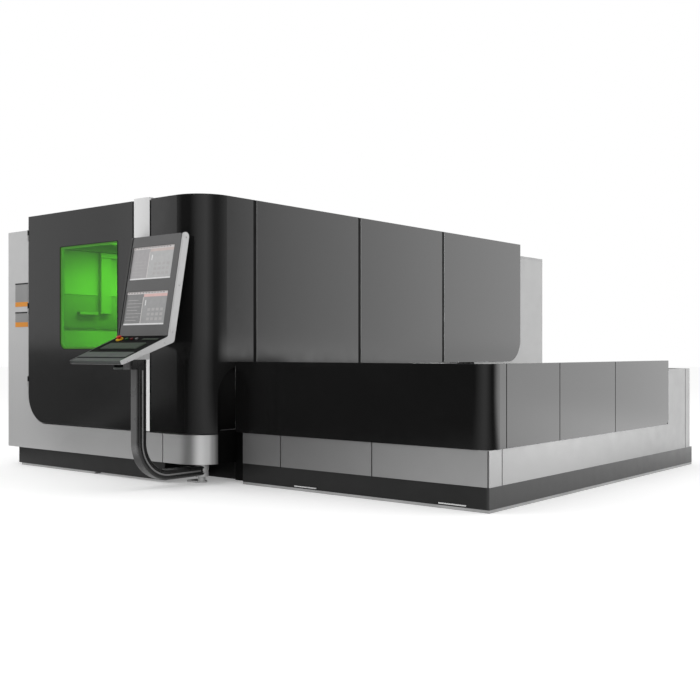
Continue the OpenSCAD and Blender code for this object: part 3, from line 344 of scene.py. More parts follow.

# console and its buttons
# side plates and bracket: painted shade, the left plate dark and the right plate pale
consoleAlloyShaded = fading("consoleAlloyShaded", (shade(62), shade(192)), span("X", -420, -380),
                      rough=0.36, metal=0.35, mottle=0.03, stretch=(60, 1, 1))
postSteel = painted("postSteel", shade(214), rough=0.42, metal=0.3, mottle=0.04)
bezelGrey = painted("bezelGrey", shade(92), rough=0.5, mottle=0.03)
backGrey = painted("backGrey", shade(96), rough=0.5, mottle=0.04)
deckBlack = painted("deckBlack", shade(10), rough=0.6, mottle=0.08, bumpScale=1800, bump=0.1, gloss=0.06)
keyGrey = painted("keyGrey", shade(62, 72, 61), rough=0.6, mottle=0.06, edge=0.001)
shelfGrey = painted("shelfGrey", shade(66, 70, 68), rough=0.5, mottle=0.05)
panelGlass = painted("panelGlass", shade(26, 30, 36), rough=0.15, mottle=0.1)
safetyYellow = painted("safetyYellow", shade(238, 186, 40), rough=0.4, mottle=0.04, edge=0.001)
stopRed = painted("stopRed", shade(186, 14, 18), rough=0.3, mottle=0.05, edge=0.001)
startGreen = painted("startGreen", shade(34, 84, 44), rough=0.3, mottle=0.05, edge=0.001)
haltRed = painted("haltRed", shade(104, 24, 26), rough=0.35, mottle=0.05, edge=0.001)
resetGrey = painted("resetGrey", shade(120), rough=0.35, mottle=0.03, edge=0.001)

# trim and fittings
glandBlack = painted("glandBlack", shade(40), rough=0.55, mottle=0.08)
rubberBlack = painted("rubberBlack", shade(20), rough=0.65, mottle=0.1, bumpScale=900, bump=0.1)
amber = painted("amber", shade(208, 132, 22), rough=0.4, mottle=0.08, edge=0.001)
plateGrey = painted("plateGrey", shade(140), rough=0.35, metal=0.3, mottle=0.04, edge=0.001)
brightSteel = painted("brightSteel", shade(220), rough=0.25, metal=0.8, mottle=0.03, edge=0.001)
brass = painted("brass", shade(196, 150, 78), rough=0.25, metal=1, mottle=0.08, edge=0.0008)

# green laser glass: the tint is taken twice, going in and coming out
glassPlan = {"through": 0.97, "ior": 1.3, "tint": (0.1, 0.66, 0.02, 1), "haze": 3, "rough": (0.01, 0.05)}


def laserGlass():
    g = glassPlan
    material, net, bsdf = tree("laserGlass")
    put(bsdf, **{"Transmission Weight": g["through"], "IOR": g["ior"], "Base Color": g["tint"]})
    net.links.new(spread(net, noiseOf(net, g["haze"]), *g["rough"]), bsdf.inputs["Roughness"])
    return material


# band under the round corner: a painted reflection, with stops of place across the bend and grey
cornerReflection = {"start": -275, "end": 0,
               "stops": ((0.0, 172), (0.4, 132), (0.66, 214), (0.8, 196), (0.87, 150), (0.93, 72), (1.0, 24))}


def cornerReflectionPaint():
    # satin metal with a painted reflection whose tone turns with the bend
    c = cornerReflection
    material, net, bsdf = tree("silverCornerReflection")
    across = along(net, *span("X", c["start"], c["end"]), smooth=False)
    ramp = rampOf(net, across, [(place, shade(level)) for place, level in c["stops"]])
    ramp.color_ramp.interpolation = "EASE"
    surface(net, bsdf, ramp.outputs["Color"], satinCoat)
    return material


# console arm: painted light and shade, where the side begins, and where the bend is painted dark
armLightShade = {"light": shade(98), "dark": shade(24), "side": (-246, -212), "bend": (230, 320), "rough": 0.3}


def armShadedPaint():
    # painted light on the front face of the upright, painted shade on the side and the bend
    a = armLightShade
    material, net, bsdf = tree("armShadedPaint")
    face = blendOf(net, along(net, *span("Z", *a["bend"])), a["dark"], a["light"])
    tint = blendOf(net, along(net, *span("X", *a["side"])), face, a["dark"])
    surface(net, bsdf, tint, {"rough": a["rough"]})
    return material


# front door: the pane's opening, the seal on it, and the rebate behind the pane, painted pale and glowing as
# painted light
windowTrim = {
    "left": -1817, "right": -1013, "low": 1066, "top": 1961, "overlap": 4, "face": 6, "proud": 3,
    "lowCorner": {"radius": 70, "steps": 10}, "topCorner": {"radius": 14, "steps": 5},
    "rebate": {"front": (5, 7), "back": (34.6, 33.6), "far": 9, "near": 5, "grey": 170, "light": 0.16},
}


def doorLitRebatePaint():
    # gloss black outside; the rebate behind the pane is painted pale and made to glow, a painted light of the
    # room
    t = windowTrim
    r = t["rebate"]
    far, near = r["far"], r["near"]
    material, net, bsdf = tree("doorGloss")
    inside = along(net, *span("Y", *r["front"]), smooth=False)
    for bound in (span("X", t["left"] - far, t["left"] - near),
                  span("X", t["right"] + far, t["right"] + near),
                  span("Y", *r["back"]),
                  span("Z", t["top"] + far, t["top"] + near),
                  span("Z", t["low"] - far, t["low"] - near)):
        product = add(net, "ShaderNodeMath", operation="MULTIPLY")
        net.links.new(inside, product.inputs[0])
        net.links.new(along(net, *bound, smooth=False), product.inputs[1])
        inside = product.outputs[0]
    surface(net, bsdf, blendOf(net, inside, shade(paints["gloss"]), shade(r["grey"])), glossCoat)
    bsdf.inputs["Emission Color"].default_value = even(1)
    net.links.new(spread(net, inside, 0, r["light"], 0, 1), bsdf.inputs["Emission Strength"])
    return material


dress(silver, "left_end_panels", "door_hinges")
dress(silverFrontShaded, "front_body_panel")
dress(cornerReflectionPaint(), "corner_band")
dress(silverSideShaded, "table_band_side", "table_rear_skin")
dress(silverLowShaded, "table_band_front")
dress(silverBackShaded, "side_rear_panels", "rear_panels", "rear_door_left", "rear_door_right")
dress(roofSheet, "roof_panels", "exhaust_collar")
dress(pillarWhite, "light_pillar")
dress(skinGloss, "corner_skin", "side_skin_front", "side_skin_middle", "side_skin_rear")
dress(fenceGloss, "table_front_skin", "table_side_skin")
dress(doorLitRebatePaint(), "front_door")
dress(laserGlass(), "door_window")
dress(plinthPaint, "cabin_plinth")
dress(plinthTableLitEnd, "table_plinth")
dress(coverBlack, "slot_covers")
dress(soleGrey, "sole_strips")
dress(frameGrey, "cabin_frame", "table_frame")
dress(innerGrey, "partition_wall", "loading_gate")
dress(bedGrey, "machine_bed")
dress(railSteel, "gantry_rails", "pallet_rails")
dress(slatSteelShaded, "upper_slats", "lower_slats")
dress(palletSteel, "upper_pallet", "lower_pallet")
dress(groundSteel, "rear_hinges", "door_handle")
dress(postSteel, "pivot_post")
dress(castAlloy, "cutting_head")
dress(beamPaint, "gantry_beam")
dress(carriageDark, "cross_carriage")
dress(armShadedPaint(), "console_arm")
dress(consoleAlloyShaded, "console_side_plates", "console_bracket")
dress(backGrey, "console_back")
dress(bezelGrey, "console_face")
dress(panelGlass, "screens")
dress(deckBlack, "control_deck")
dress(keyGrey, "keyboard")
dress(shelfGrey, "front_shelf")
dress(safetyYellow, "estop_base")
dress(stopRed, "estop_button")
dress(haltRed, "stop_button")
dress(startGreen, "start_button")
dress(resetGrey, "reset_button")
dress(sourceWhite, "laser_source")
dress(cabinetGrey, "control_cabinet")
dress(glandBlack, "cable_gland")
print("finishes on the solids")


def windowFrame():
    # slim rubber seal over the joint round the pane
    t = windowTrim
    over = t["overlap"]
    left, right, low, top = t["left"] - over, t["right"] + over, t["low"] - over, t["top"] + over
    mesh = bmesh.new()
    corners = [mesh.verts.new(at(x, 0, z)) for x, z in ((left, low), (right, low), (right, top), (left, top))]
    mesh.faces.new(corners)
    for pair, corner in ((corners[:2], t["lowCorner"]), (corners[2:], t["topCorner"])):
        bmesh.ops.bevel(mesh, geom=pair, offset=(corner["radius"] + over) / 1000, affect="VERTICES",
                        segments=corner["steps"], profile=0.5, material=-1)
    pane = mesh.faces[:]
    ring = bmesh.ops.inset_region(mesh, faces=pane, thickness=t["face"] / 1000, use_boundary=True,
                                  use_even_offset=True)["faces"]
    bmesh.ops.delete(mesh, geom=pane, context="FACES_ONLY")
    raised = bmesh.ops.extrude_face_region(mesh, geom=ring)["geom"]
    bmesh.ops.translate(mesh, vec=mm(0, -t["proud"], 0), verts=vertsOf(raised))
    keep("window_frame", mesh, rubberBlack, "front_door")


windowFrame()
print("window frame")

# screens: pages built from flat tiles on the glass, placed from the elbow where face and deck meet
screenPlan = {"lean": 10.4, "elbow": (-392, -244, 1158), "left": 29, "width": 498, "height": 268,
              "glass": -14.0, "layer": 0.3, "thick": 0.25, "gap": 0.15, "light": 0.2}
pages = {
    "screen_page_upper": {"base": 458, "left": "left", "right": "right", "rose": "rose", "rowCount": 5},
    "screen_page_lower": {"base": 95, "left": "deepLeft", "right": "deepRight", "rose": "deepRose",
                          "rowCount": 7},
}
# left, low, right and top as parts of the page
pageLayout = {
    "page": (0.0, 0.0, 1.0, 1.0), "pane": (0.42, 0.06, 0.985, 0.84), "band": (0.42, 0.84, 0.985, 0.925),
    "head": (0.0, 0.925, 1.0, 1.0), "foot": (0.0, 0.0, 1.0, 0.055), "divider": (0.405, 0.055, 0.418, 0.84),
    "slider": (0.47, 0.58, 0.49, 0.74),
    "marks": {"first": (0.03, 0.95, 0.055, 0.98), "count": 13, "across": 0.07},
    "rows": {"first": (0.04, 0.14, 0.3, 0.155), "up": 0.1, "longer": 0.05, "lengths": 3},
    "cells": {"first": (0.55, 0.14, 0.615, 0.22), "columns": 4, "rows": 3, "across": 0.1, "up": 0.14},
}
pageInks = {
    "left": shade(150, 148, 149), "right": shade(162), "bar": shade(190, 186, 185),
    "rose": shade(178, 166, 162), "deepLeft": shade(120), "deepRight": shade(142),
    "deepRose": shade(196, 164, 160), "white": shade(206), "mark": shade(96, 92, 94),
    "faint": shade(158, 156, 156),
}
inkNames = list(pageInks)
pageGlow = [glow("page" + ink.title(), colour, screenPlan["light"]) for ink, colour in pageInks.items()]


def elbowPlace(degrees):
    # frame at the console's elbow, tipped about the X axis
    return Matrix.Translation(at(*screenPlan["elbow"])) @ Matrix.Rotation(math.radians(degrees), 4, "X")


def tile(mesh, base, ink, layer, part):
    s = screenPlan
    w, h, gap = s["width"], s["height"], s["gap"]
    x, z = -w / 2 - s["left"], s["glass"] + s["layer"] * layer
    u0, v0, u1, v1 = part
    brick(mesh, mm(x + u0 * w + gap, base + v0 * h + gap, z),
          mm(x + u1 * w - gap, base + v1 * h - gap, z + s["thick"]), paint=inkNames.index(ink))


def stepped(part, across, up, longer=0.0):
    u0, v0, u1, v1 = part
    return (u0 + across, v0 + up, u1 + across + longer, v1 + up)


def screenPage(name, base, left, right, rose, rowCount):
    # two panes, a bar with small marks above, a rose band over the right pane and a pale bar below
    p = pageLayout
    marks, rows, cells = p["marks"], p["rows"], p["cells"]
    mesh = bmesh.new()
    tile(mesh, base, left, 0, p["page"])
    for part, ink, layer in (("pane", right, 1), ("band", rose, 1), ("head", "bar", 1), ("foot", "white", 1),
                             ("divider", "bar", 1), ("slider", "white", 2)):
        tile(mesh, base, ink, layer, p[part])
    for i in range(marks["count"]):
        tile(mesh, base, "mark", 2, stepped(marks["first"], i * marks["across"], 0))
    for i in range(rowCount):
        longer = rows["longer"] * (i % rows["lengths"])
        tile(mesh, base, "faint", 1, stepped(rows["first"], 0, i * rows["up"], longer))
    for i in range(cells["columns"]):
        for j in range(cells["rows"]):
            tile(mesh, base, "faint", 2, stepped(cells["first"], i * cells["across"], j * cells["up"]))
    bmesh.ops.transform(mesh, matrix=elbowPlace(90 - screenPlan["lean"]), verts=mesh.verts)
    keep(name, mesh, pageGlow, "console")


for name, page in pages.items():
    screenPage(name, **page)
print("screen pages")

# control deck: wrist rest, a row of small keys, and the knob under the right front of the tray
deckPlan = {
    "slope": 22.2,
    "rest": {"width": 560, "far": -415, "near": -320, "sink": 2, "high": 7, "soft": 3, "steps": 3},
    "keys": {"count": 6, "first": 70, "pitch": 30, "size": 22, "far": -66, "sink": 2, "high": 4, "soft": 1.5},
    "knob": {"place": (190, -425, -58),
             "body": ((0, 20), (30, 20), (33, 16), (33, -8), (30, -12), (0, -12)),
             "rim": ((0, -13), (35, -13), (38, -16), (38, -24), (34, -28), (0, -28))},
}


def deckPieces():
    deck = elbowPlace(deckPlan["slope"])
    rest, keys, knob = deckPlan["rest"], deckPlan["keys"], deckPlan["knob"]
    mesh = bmesh.new()
    half = rest["width"] / 2
    brick(mesh, mm(-half, rest["far"], -rest["sink"]), mm(half, rest["near"], rest["high"]), rest["soft"],
          deck, rest["steps"])
    keep("wrist_rest", mesh, shelfGrey, "console")
    mesh = bmesh.new()
    for i in range(keys["count"]):
        x, y, size = keys["first"] + i * keys["pitch"], keys["far"], keys["size"]
        brick(mesh, mm(x, y, -keys["sink"]), mm(x + size, y + size, keys["high"]), keys["soft"], deck)
    keep("deck_keys", mesh, keyGrey, "console")
    mesh = bmesh.new()
    upright = Matrix.Rotation(math.radians(-deckPlan["slope"]), 4, "X")
    place = deck @ Matrix.Translation(mm(*knob["place"])) @ upright
    turned(mesh, knob["body"], place)
    turned(mesh, knob["rim"], place, paint=1)
    keep("tray_knob", mesh, [deckBlack, shelfGrey], "console", True)


deckPieces()

# screws in the outer faces of the console's side plates: steps along the face and along the deck
screwPlan = {"sides": (-311, 311), "face": (40, 400, 776), "deck": (60, 430), "in": 29,
             "radius": 5.5, "high": 2.5, "steps": 16,
             "profile": ((0, 0.35), (0.42, 0.35), (0.46, 1), (0.86, 1), (1, 0.5), (1, 0), (0, 0))}


def plateScrews():
    p = screwPlan
    x, y, z = screenPlan["elbow"]
    lean, slope, inward = math.radians(screenPlan["lean"]), math.radians(deckPlan["slope"]), p["in"]
    spots = [(y + t * math.sin(lean) + inward * math.cos(lean),
              z + t * math.cos(lean) - inward * math.sin(lean)) for t in p["face"]]
    spots += [(y - t * math.cos(slope) + inward * math.sin(slope),
               z - t * math.sin(slope) - inward * math.cos(slope)) for t in p["deck"]]
    profile = [(p["radius"] * out, p["high"] * up) for out, up in p["profile"]]
    mesh = bmesh.new()
    for side in p["sides"]:
        outward = Matrix.Rotation(math.copysign(math.pi / 2, side), 4, "Y")
        for screwY, screwZ in spots:
            turned(mesh, profile, Matrix.Translation(at(x + side, screwY, screwZ)) @ outward, p["steps"])
    keep("plate_screws", mesh, groundSteel, "console")


plateScrews()
print("deck pieces")

# pivot: bright sleeve round the hub of the arm, with a groove round it
hubPlan = {"x": -255, "y": 242, "inner": 45, "radius": 57, "groove": 53.5, "steps": 48,
           "levels": (48, 51, 84, 87, 93, 96, 147, 150)}


def hubSleeve():
    h = hubPlan
    z, r, g, i = h["levels"], h["radius"], h["groove"], h["inner"]
    mesh = bmesh.new()
    profile = [(i, z[0]), (g, z[0]), (r, z[1]), (r, z[2]), (g, z[3]), (g, z[4]), (r, z[5]), (r, z[6]),
               (g, z[7]), (i, z[7]), (i, z[0])]
    turned(mesh, profile, Matrix.Translation(at(h["x"], h["y"], 0)), h["steps"])
    keep("hub_sleeve", mesh, postSteel, "console")


hubSleeve()

# painted highlight: a pale strip in the groove of the arm, from the head down round the bend to the sleeve
armHighlight = {"x": -207.4, "thick": 1.2, "half": 6, "upright": -391, "bend": 262.5, "level": 100, "top": 905,
           "end": 190, "steps": 24}


def grooveHighlight():
    a = armHighlight
    x0, x1, y0, y1 = a["x"], a["x"] + a["thick"], a["upright"] - a["half"], a["upright"] + a["half"]
    bendY, bendZ = a["upright"] + a["bend"], a["level"] + a["bend"]
    mesh = bmesh.new()
    corners = ((x0, y0), (x1, y0), (x1, y1), (x0, y1))
    end = mesh.faces.new([mesh.verts.new(at(x, y, a["top"])) for x, y in corners])
    end = pushed(mesh, end, mm(0, 0, bendZ - a["top"]))
    bend = bmesh.ops.spin(mesh, geom=[end, *end.edges, *end.verts], cent=at(0, bendY, bendZ), axis=(1, 0, 0),
                          angle=math.pi / 2, steps=a["steps"])
    end = [f for f in bend["geom_last"] if isinstance(f, bmesh.types.BMFace)][0]
    pushed(mesh, end, mm(0, a["end"] - bendY, 0))
    bmesh.ops.delete(mesh, geom=[end], context="FACES_ONLY")
    keep("arm_highlight", mesh, plateGrey, "console")


grooveHighlight()
print("hub sleeve and arm line")

# left strip: two bare plates with amber bars and dark caps
stripPlan = {
    "left": -2533, "right": -2329, "face": 10, "gap": 0.05, "soft": 1.2,
    "grey": {"proud": 2.4, "rows": ((1500, 1660), (1315, 1393))},
    "amber": {"proud": 3.0, "rows": ((1456, 1498), (1269, 1313))},
    "dark": {"proud": 3.4, "rows": ((1660.5, 1672), (1395, 1407))},
}


def stripPlates():
    p = stripPlan
    mesh = bmesh.new()
    for paint, plate in enumerate((p["grey"], p["amber"], p["dark"])):
        for low, high in plate["rows"]:
            brick(mesh, at(p["left"], p["face"] - plate["proud"], low),
                  at(p["right"], p["face"] - p["gap"], high), p["soft"], paint=paint)
    keep("strip_plates", mesh, [plateGrey, amber, rubberBlack], "base")


stripPlates()

# rubber lip that closes the joint between the fence and the cabin
lipPlan = {"left": 0.6, "right": 4, "front": 366, "back": 384, "low": 409, "high": 962, "soft": 0.8}


def fenceLip():
    p = lipPlan
    mesh = bmesh.new()
    brick(mesh, at(p["left"], p["front"], p["low"]), at(p["right"], p["back"], p["high"]), p["soft"])
    keep("fence_lip", mesh, coverBlack, "base")


fenceLip()

# cabin side: flat dark seals over the upright seams, each with a pale strip at its edge that is a painted
# highlight
sealPlan = {"before": 28, "after": 5, "edge": 10, "gap": 0.1, "lift": 0.2, "thick": 1.2, "short": 2,
            "tones": (shade(112), shade(166))}


def seamSeals():
    p = sealPlan
    boxes = [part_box(name) for name in ("side_skin_front", "side_skin_middle", "side_skin_rear")]
    # the pale strip is a painted highlight, its tone fading along the side
    edge = fading("seamHighlight", p["tones"], ("Y", boxes[0][0].y, boxes[2][0].y), rough=0.4, mottle=0.03, edge=0)
    mesh = bmesh.new()
    for low, high in boxes:
        foot, head = Vector((high.x, low.y, low.z)), Vector((high.x, low.y, high.z))
        for start, end, paint in ((-p["before"], p["after"], 0), (p["after"] + p["gap"], p["edge"], 1)):
            brick(mesh, foot + mm(p["lift"], start, p["short"]),
                  head + mm(p["lift"] + p["thick"], end, -p["short"]), paint=paint)
    keep("seam_seals", mesh, [coverBlack, edge], "base")


seamSeals()

# table plinth: bright pull bars in the two low slots
slotBars = {"starts": (618, 1922), "width": 228, "inset": 4, "low": 28, "high": 38, "front": 372,
            "deep": 12.8, "soft": 2}


def plinthBars():
    s = slotBars
    mesh = bmesh.new()
    for x in s["starts"]:
        brick(mesh, at(x + s["inset"], s["front"], s["low"]),
              at(x + s["width"] - s["inset"], s["front"] + s["deep"], s["high"]), s["soft"])
    keep("plinth_bars", mesh, brightSteel, "base")


plinthBars()
print("plates, seals and bars")

# light bars under the roof of the cutting room
lampPlan = {"lefts": (-2200, -500), "width": 60, "start": 700, "end": 3400, "low": 2085, "high": 2119,
            "soft": 4, "tint": (0.95, 1.0, 0.97, 1), "light": 0.3}


def chamberLamps():
    p = lampPlan
    mesh = bmesh.new()
    for x in p["lefts"]:
        brick(mesh, at(x, p["start"], p["low"]), at(x + p["width"], p["end"], p["high"]), p["soft"])
    keep("chamber_lamps", mesh, glow("lampWhite", p["tint"], p["light"]), "base")


chamberLamps()

# lining of the cutting room's left wall: two rows of sheets, uprights with a tray above and a short shelf
liningPlan = {
    "wall": -2620, "start": 130, "end": 4090, "low": 1250, "middle": 1600, "top": 2036, "thick": 18,
    "back": 0.5, "joint": 4, "seat": 0.2, "trayJoint": 0.5, "posts": (993, 1993, 2993), "postWidth": 123,
    "postLow": 1420, "proud": 46, "tray": 1985,
    "shelf": {"start": 742, "end": 957, "low": 1408, "high": 1436},
    "soft": {"sheet": 3, "post": 6, "shelf": 4},
}
liningTones = {"upper": (shade(178), shade(144)), "lower": (shade(138), shade(146)), "post": shade(166)}


def roomLining():
    p = liningPlan
    shelf, soft = p["shelf"], p["soft"]
    tones = liningTones
    upper = fading("liningUpper", tones["upper"], span("Z", p["middle"], p["top"]), rough=0.5, mottle=0.03)
    lower = fading("liningLower", tones["lower"], span("Z", p["low"], p["middle"]), rough=0.5, mottle=0.03)
    post = painted("liningPost", tones["post"], rough=0.45, mottle=0.03)
    back, front = p["wall"] + p["back"], p["wall"] + p["thick"]
    seat, proud = front + p["seat"], front + p["proud"]
    mesh = bmesh.new()
    brick(mesh, at(back, p["start"], p["middle"] + p["joint"]), at(front, p["end"], p["top"]), soft["sheet"])
    brick(mesh, at(back, p["start"], p["low"]), at(front, p["end"], p["middle"]), soft["sheet"], paint=1)
    for y in p["posts"]:
        brick(mesh, at(seat, y, p["postLow"]), at(proud, y + p["postWidth"], p["tray"]), soft["post"],
              paint=2)
    brick(mesh, at(seat, p["posts"][0], p["tray"] + p["trayJoint"]), at(proud, p["end"], p["top"]),
          soft["post"], paint=2)
    brick(mesh, at(seat, shelf["start"], shelf["low"]), at(proud, shelf["end"], shelf["high"]),
          soft["shelf"], paint=2)
    keep("room_lining", mesh, [upper, lower, post], "base")


roomLining()

# cutting head: two brass rings, heights above the tip
headPlan = {"x": -1180, "y": 1268, "tip": 950,
            "nozzleRing": ((14.5, 41), (19, 43), (19, 52), (16.8, 55), (14.5, 41)),
            "collarRing": ((32.5, 104), (36, 107), (36, 130), (32.5, 133), (32.5, 104))}


def headTrim():
    h = headPlan
    mesh = bmesh.new()
    for ring in (h["nozzleRing"], h["collarRing"]):
        turned(mesh, ring, Matrix.Translation(at(h["x"], h["y"], h["tip"])))
    keep("nozzle_rings", mesh, brass, "head", True)


headTrim()
print("chamber")

# roof: lifting eyes, each a foot with a ring standing on it
eyePlan = {"top": 2150, "spots": ((-2450, 250), (-2450, 5250), (-330, 330), (-260, 5250)),
           "foot": ((0, 0), (40, 0), (40, 8), (30, 12), (18, 14), (18, 20), (0, 20)), "footSteps": 20,
           "ring": {"height": 52, "radius": 30, "wire": 9, "sides": 10, "steps": 24}}


def roofEyes():
    ring = eyePlan["ring"]
    upright = Matrix.Rotation(math.pi / 2, 4, "X")
    mesh = bmesh.new()
    for x, y in eyePlan["spots"]:
        place = Matrix.Translation(at(x, y, eyePlan["top"]))
        turned(mesh, eyePlan["foot"], place, eyePlan["footSteps"])
        section = place @ Matrix.Translation(mm(ring["radius"], 0, ring["height"])) @ upright
        wire = bmesh.ops.create_circle(mesh, cap_ends=False, radius=ring["wire"] / 1000,
                                       segments=ring["sides"], matrix=section)["verts"]
        edges = list({e for v in wire for e in v.link_edges})
        centre = at(x, y, eyePlan["top"]) + mm(0, 0, ring["height"])
        bmesh.ops.spin(mesh, geom=wire + edges, cent=centre, axis=(0, 1, 0), angle=math.tau,
                       steps=ring["steps"], use_merge=True)
    keep("roof_eyes", mesh, groundSteel, "base", True)


roofEyes()

# six-sided bolts on the flange of the duct
boltPlan = {"x": -1325, "y": 4810, "level": 2156, "circle": 130, "count": 8, "sides": 6,
            "profile": ((0, 7), (7, 7), (8.5, 5), (8.5, 0), (0, 0))}


def ductBolts():
    b = boltPlan
    mesh = bmesh.new()
    for i in range(b["count"]):
        angle = math.tau * i / b["count"]
        x, y = b["x"] + b["circle"] * math.cos(angle), b["y"] + b["circle"] * math.sin(angle)
        turned(mesh, b["profile"], Matrix.Translation(at(x, y, b["level"])), b["sides"])
    keep("duct_bolts", mesh, groundSteel, "base")


ductBolts()
print("roof fittings")

# back: quarter-turn locks on the service doors, each with a raised key bar
lockPlan = {"left": -1720, "right": -930, "y": 5530, "heights": (700, 1750),
            "barrel": ((0, 7), (12, 7), (16, 5), (17, 0), (0, 0)),
            "bar": {"low": (-3, -9, 7.2), "high": (3, 9, 9.5)}}


def rearLocks():
    p = lockPlan
    for name, x, body in (("lock_left", p["left"], "rear_door_left"),
                          ("lock_right", p["right"], "rear_door_right")):
        mesh = bmesh.new()
        for z in p["heights"]:
            place = Matrix.Translation(at(x, p["y"], z)) @ Matrix.Rotation(-math.pi / 2, 4, "X")
            turned(mesh, p["barrel"], place)
            brick(mesh, mm(*p["bar"]["low"]), mm(*p["bar"]["high"]), place=place)
        keep(name, mesh, groundSteel, body)


rearLocks()
print("rear locks")

# studio: pale floor and white surroundings; the floor's lift and the world's fill are strengths
studio = {"floor": 0.86, "vary": 0.02, "grain": 0.6, "radius": 60, "sides": 64, "level": -0.001, "lift": 0.26,
          "fill": 0.8}


def seenRays(net):
    # 1 for rays from the camera and for mirrored and transmitted ones
    path = add(net, "ShaderNodeLightPath")
    seen = path.outputs["Is Camera Ray"]
    for kind in ("Is Glossy Ray", "Is Transmission Ray"):
        either = add(net, "ShaderNodeMath", operation="MAXIMUM")
        net.links.new(seen, either.inputs[0])
        net.links.new(path.outputs[kind], either.inputs[1])
        seen = either.outputs[0]
    return seen


def buildWorld():
    world = bpy.data.worlds.new("studioWorld")
    scene.world = world
    world.use_nodes = True
    net = world.node_tree
    back = put(net.nodes["Background"], Color=even(1))
    net.links.new(spread(net, seenRays(net), studio["fill"], 1.0, 0, 1), back.inputs["Strength"])


def buildFloor():
    s = studio
    mesh = bmesh.new()
    bmesh.ops.create_circle(mesh, cap_ends=True, radius=s["radius"], segments=s["sides"])
    data = dataOf("studioFloor", mesh)
    floor = shown("studioFloor", data)
    floor.location = (0, 0, s["level"])
    material, net, bsdf = tree("floorWhite")
    grain = spread(net, noiseOf(net, s["grain"]), 0, 1)
    colour = blendOf(net, grain, even(s["floor"]), even(s["floor"] + s["vary"]))
    net.links.new(colour, bsdf.inputs["Base Color"])
    put(bsdf, **{"Roughness": 0.9, "Specular IOR Level": 0.0, "Emission Color": even(1)})
    net.links.new(spread(net, seenRays(net), 0.0, s["lift"], 0, 1), bsdf.inputs["Emission Strength"])
    data.materials.append(material)


# wall and floor ring that only reflections see: zones with stops of angle from +X in degrees and level
tent = {
    "radius": 16, "height": 10, "inner": 4.2, "level": 0.004, "steps": 96, "split": (1.1, 1.14), "peak": 3.0,
    "wall": {"leftWall": ((-180, 1.0), (-137, 0.85)), "thinStrip": ((-134.6, 1.5), (-133.6, 1.3)),
             "darkFront": ((-132.8, 0.4), (-113, 0.05), (-86, 0.05)), "frontGlow": ((-63, 0.65), (-40, 0.95)),
             "dip": ((-14, 0.2), (0, 0.2)), "sideWall": ((33, 0.6), (38, 0.9)),
             "rightBank": ((40, 1.5), (46, 1.95), (57, 2.4), (78, 2.4)),
             "backWall": ((100, 1.0), (180, 1.0))},
    "ground": {"leftFloor": ((-180, 0.4), (-137, 0.2)), "thinStrip": ((-134.6, 0.5), (-133.6, 0.4)),
               "darkFront": ((-132.8, 0.05), (-98, 0.02)), "frontGlow": ((-63, 0.5), (-50, 0.65), (-40, 0.6)),
               "dip": ((-15, 0.05), (-4, 0.05)), "rightBank": ((14, 2.0), (22, 2.7), (47, 2.65), (57, 2.1)),
               "backFloor": ((78, 2.0), (100, 0.8), (180, 0.4))},
}


def levelRamp(net, angle, zones):
    stops = [((degrees + 180) / 360, even(level / tent["peak"]))
             for zone in zones.values() for degrees, level in zone]
    return rampOf(net, angle, stops).outputs["Color"]


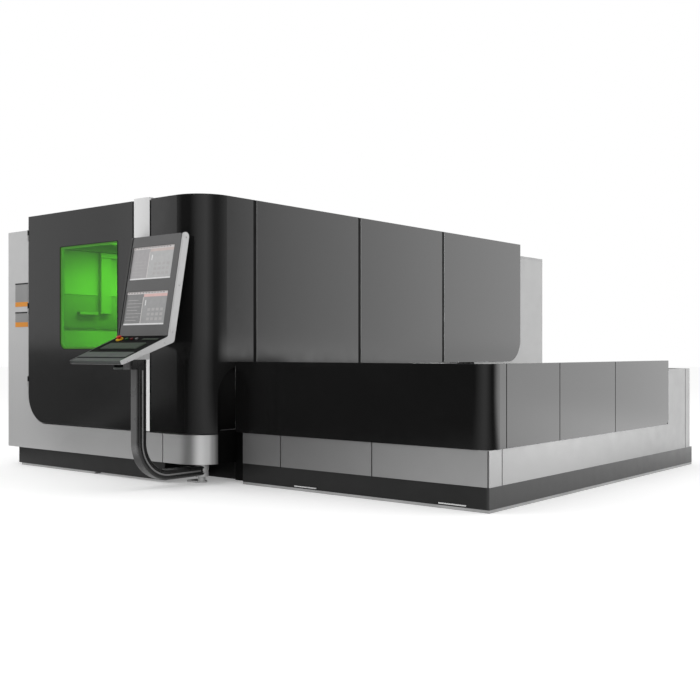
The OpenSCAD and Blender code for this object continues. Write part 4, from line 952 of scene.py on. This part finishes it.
def buildTent():
    t = tent
    low, radius = t["level"], t["radius"]
    mesh = bmesh.new()
    verts = [mesh.verts.new((r, 0, z)) for r, z in ((t["inner"], low), (radius, low), (radius, t["height"]))]
    edges = [mesh.edges.new(pair) for pair in zip(verts, verts[1:])]
    bmesh.ops.spin(mesh, geom=verts + edges, cent=(0, 0, 0), axis=(0, 0, 1), angle=math.tau, steps=t["steps"],
                   use_merge=True)
    data = dataOf("lightTent", mesh)
    holder = shown("lightTent", data)
    holder.visible_camera = holder.visible_diffuse = False
    holder.visible_shadow = holder.visible_transmission = False
    material, net, bsdf = tree("tentLight")
    coords = add(net, "ShaderNodeTexCoord")
    split = add(net, "ShaderNodeSeparateXYZ")
    net.links.new(coords.outputs["Object"], split.inputs["Vector"])
    turn = add(net, "ShaderNodeMath", operation="ARCTAN2")
    net.links.new(split.outputs["Y"], turn.inputs[0])
    net.links.new(split.outputs["X"], turn.inputs[1])
    angle = spread(net, turn.outputs[0], 0, 1, -math.pi, math.pi)
    ground, wall = levelRamp(net, angle, t["ground"]), levelRamp(net, angle, t["wall"])
    light = put(add(net, "ShaderNodeEmission"), Strength=t["peak"])
    net.links.new(blendOf(net, along(net, "Z", *t["split"]), ground, wall), light.inputs["Color"])
    net.links.new(light.outputs["Emission"], net.nodes["Material Output"].inputs["Surface"])
    net.nodes.remove(bsdf)
    material.cycles.emission_sampling = "NONE"
    data.materials.append(material)


# soft lamps: three round the machine and three inside the cutting room
lamps = {
    "keyRight": {"place": (11, 5, 6), "aim": (0, 0, 1), "size": (7, 5), "power": 260},
    "topSoft": {"place": (1, -1, 9), "aim": (0, 0, 0), "size": (8, 8), "power": 160},
    "frontLeft": {"place": (-6, -9, 6), "aim": (-1, -1, 1), "size": (5, 5), "power": 200},
    "roomLeft": {"place": at(-2100, 1900, 2080), "aim": at(-2100, 1900, 0), "size": (0.2, 2.6), "power": 38},
    "roomRight": {"place": at(-650, 1900, 2080), "aim": at(-650, 1900, 0), "size": (0.2, 2.6), "power": 38},
    "roomLift": {"place": at(-1500, 1500, 1000), "aim": at(-1500, 1500, 2000), "size": (1.2, 2.4),
                 "power": 22},
}


def softbox(name, place, aim, size, power):
    lamp = bpy.data.lights.new(name, "AREA")
    lamp.shape = "RECTANGLE"
    lamp.size, lamp.size_y = size
    lamp.energy = power
    holder = shown(name, lamp)
    holder.location = place
    holder.rotation_euler = (Vector(aim) - Vector(place)).to_track_quat("-Z", "Y").to_euler()
    holder.visible_glossy = holder.visible_camera = holder.visible_transmission = False


buildWorld()
buildFloor()
buildTent()
for name, lamp in lamps.items():
    softbox(name, **lamp)
print("studio")

# camera at the photograph's place
view = {"place": (5.793, -7.558, 1.05), "turn": 39.1188, "lens": 50.71, "sensor": 36, "shift": 0.0012,
        "clip": 200}
lens = bpy.data.cameras.new("mainCamera")
lens.lens = view["lens"]
lens.sensor_width = view["sensor"]
lens.shift_y = view["shift"]
lens.clip_end = view["clip"]
camera = shown("mainCamera", lens)
camera.location = view["place"]
camera.rotation_euler = (math.pi / 2, 0, math.radians(view["turn"]))
scene.camera = camera
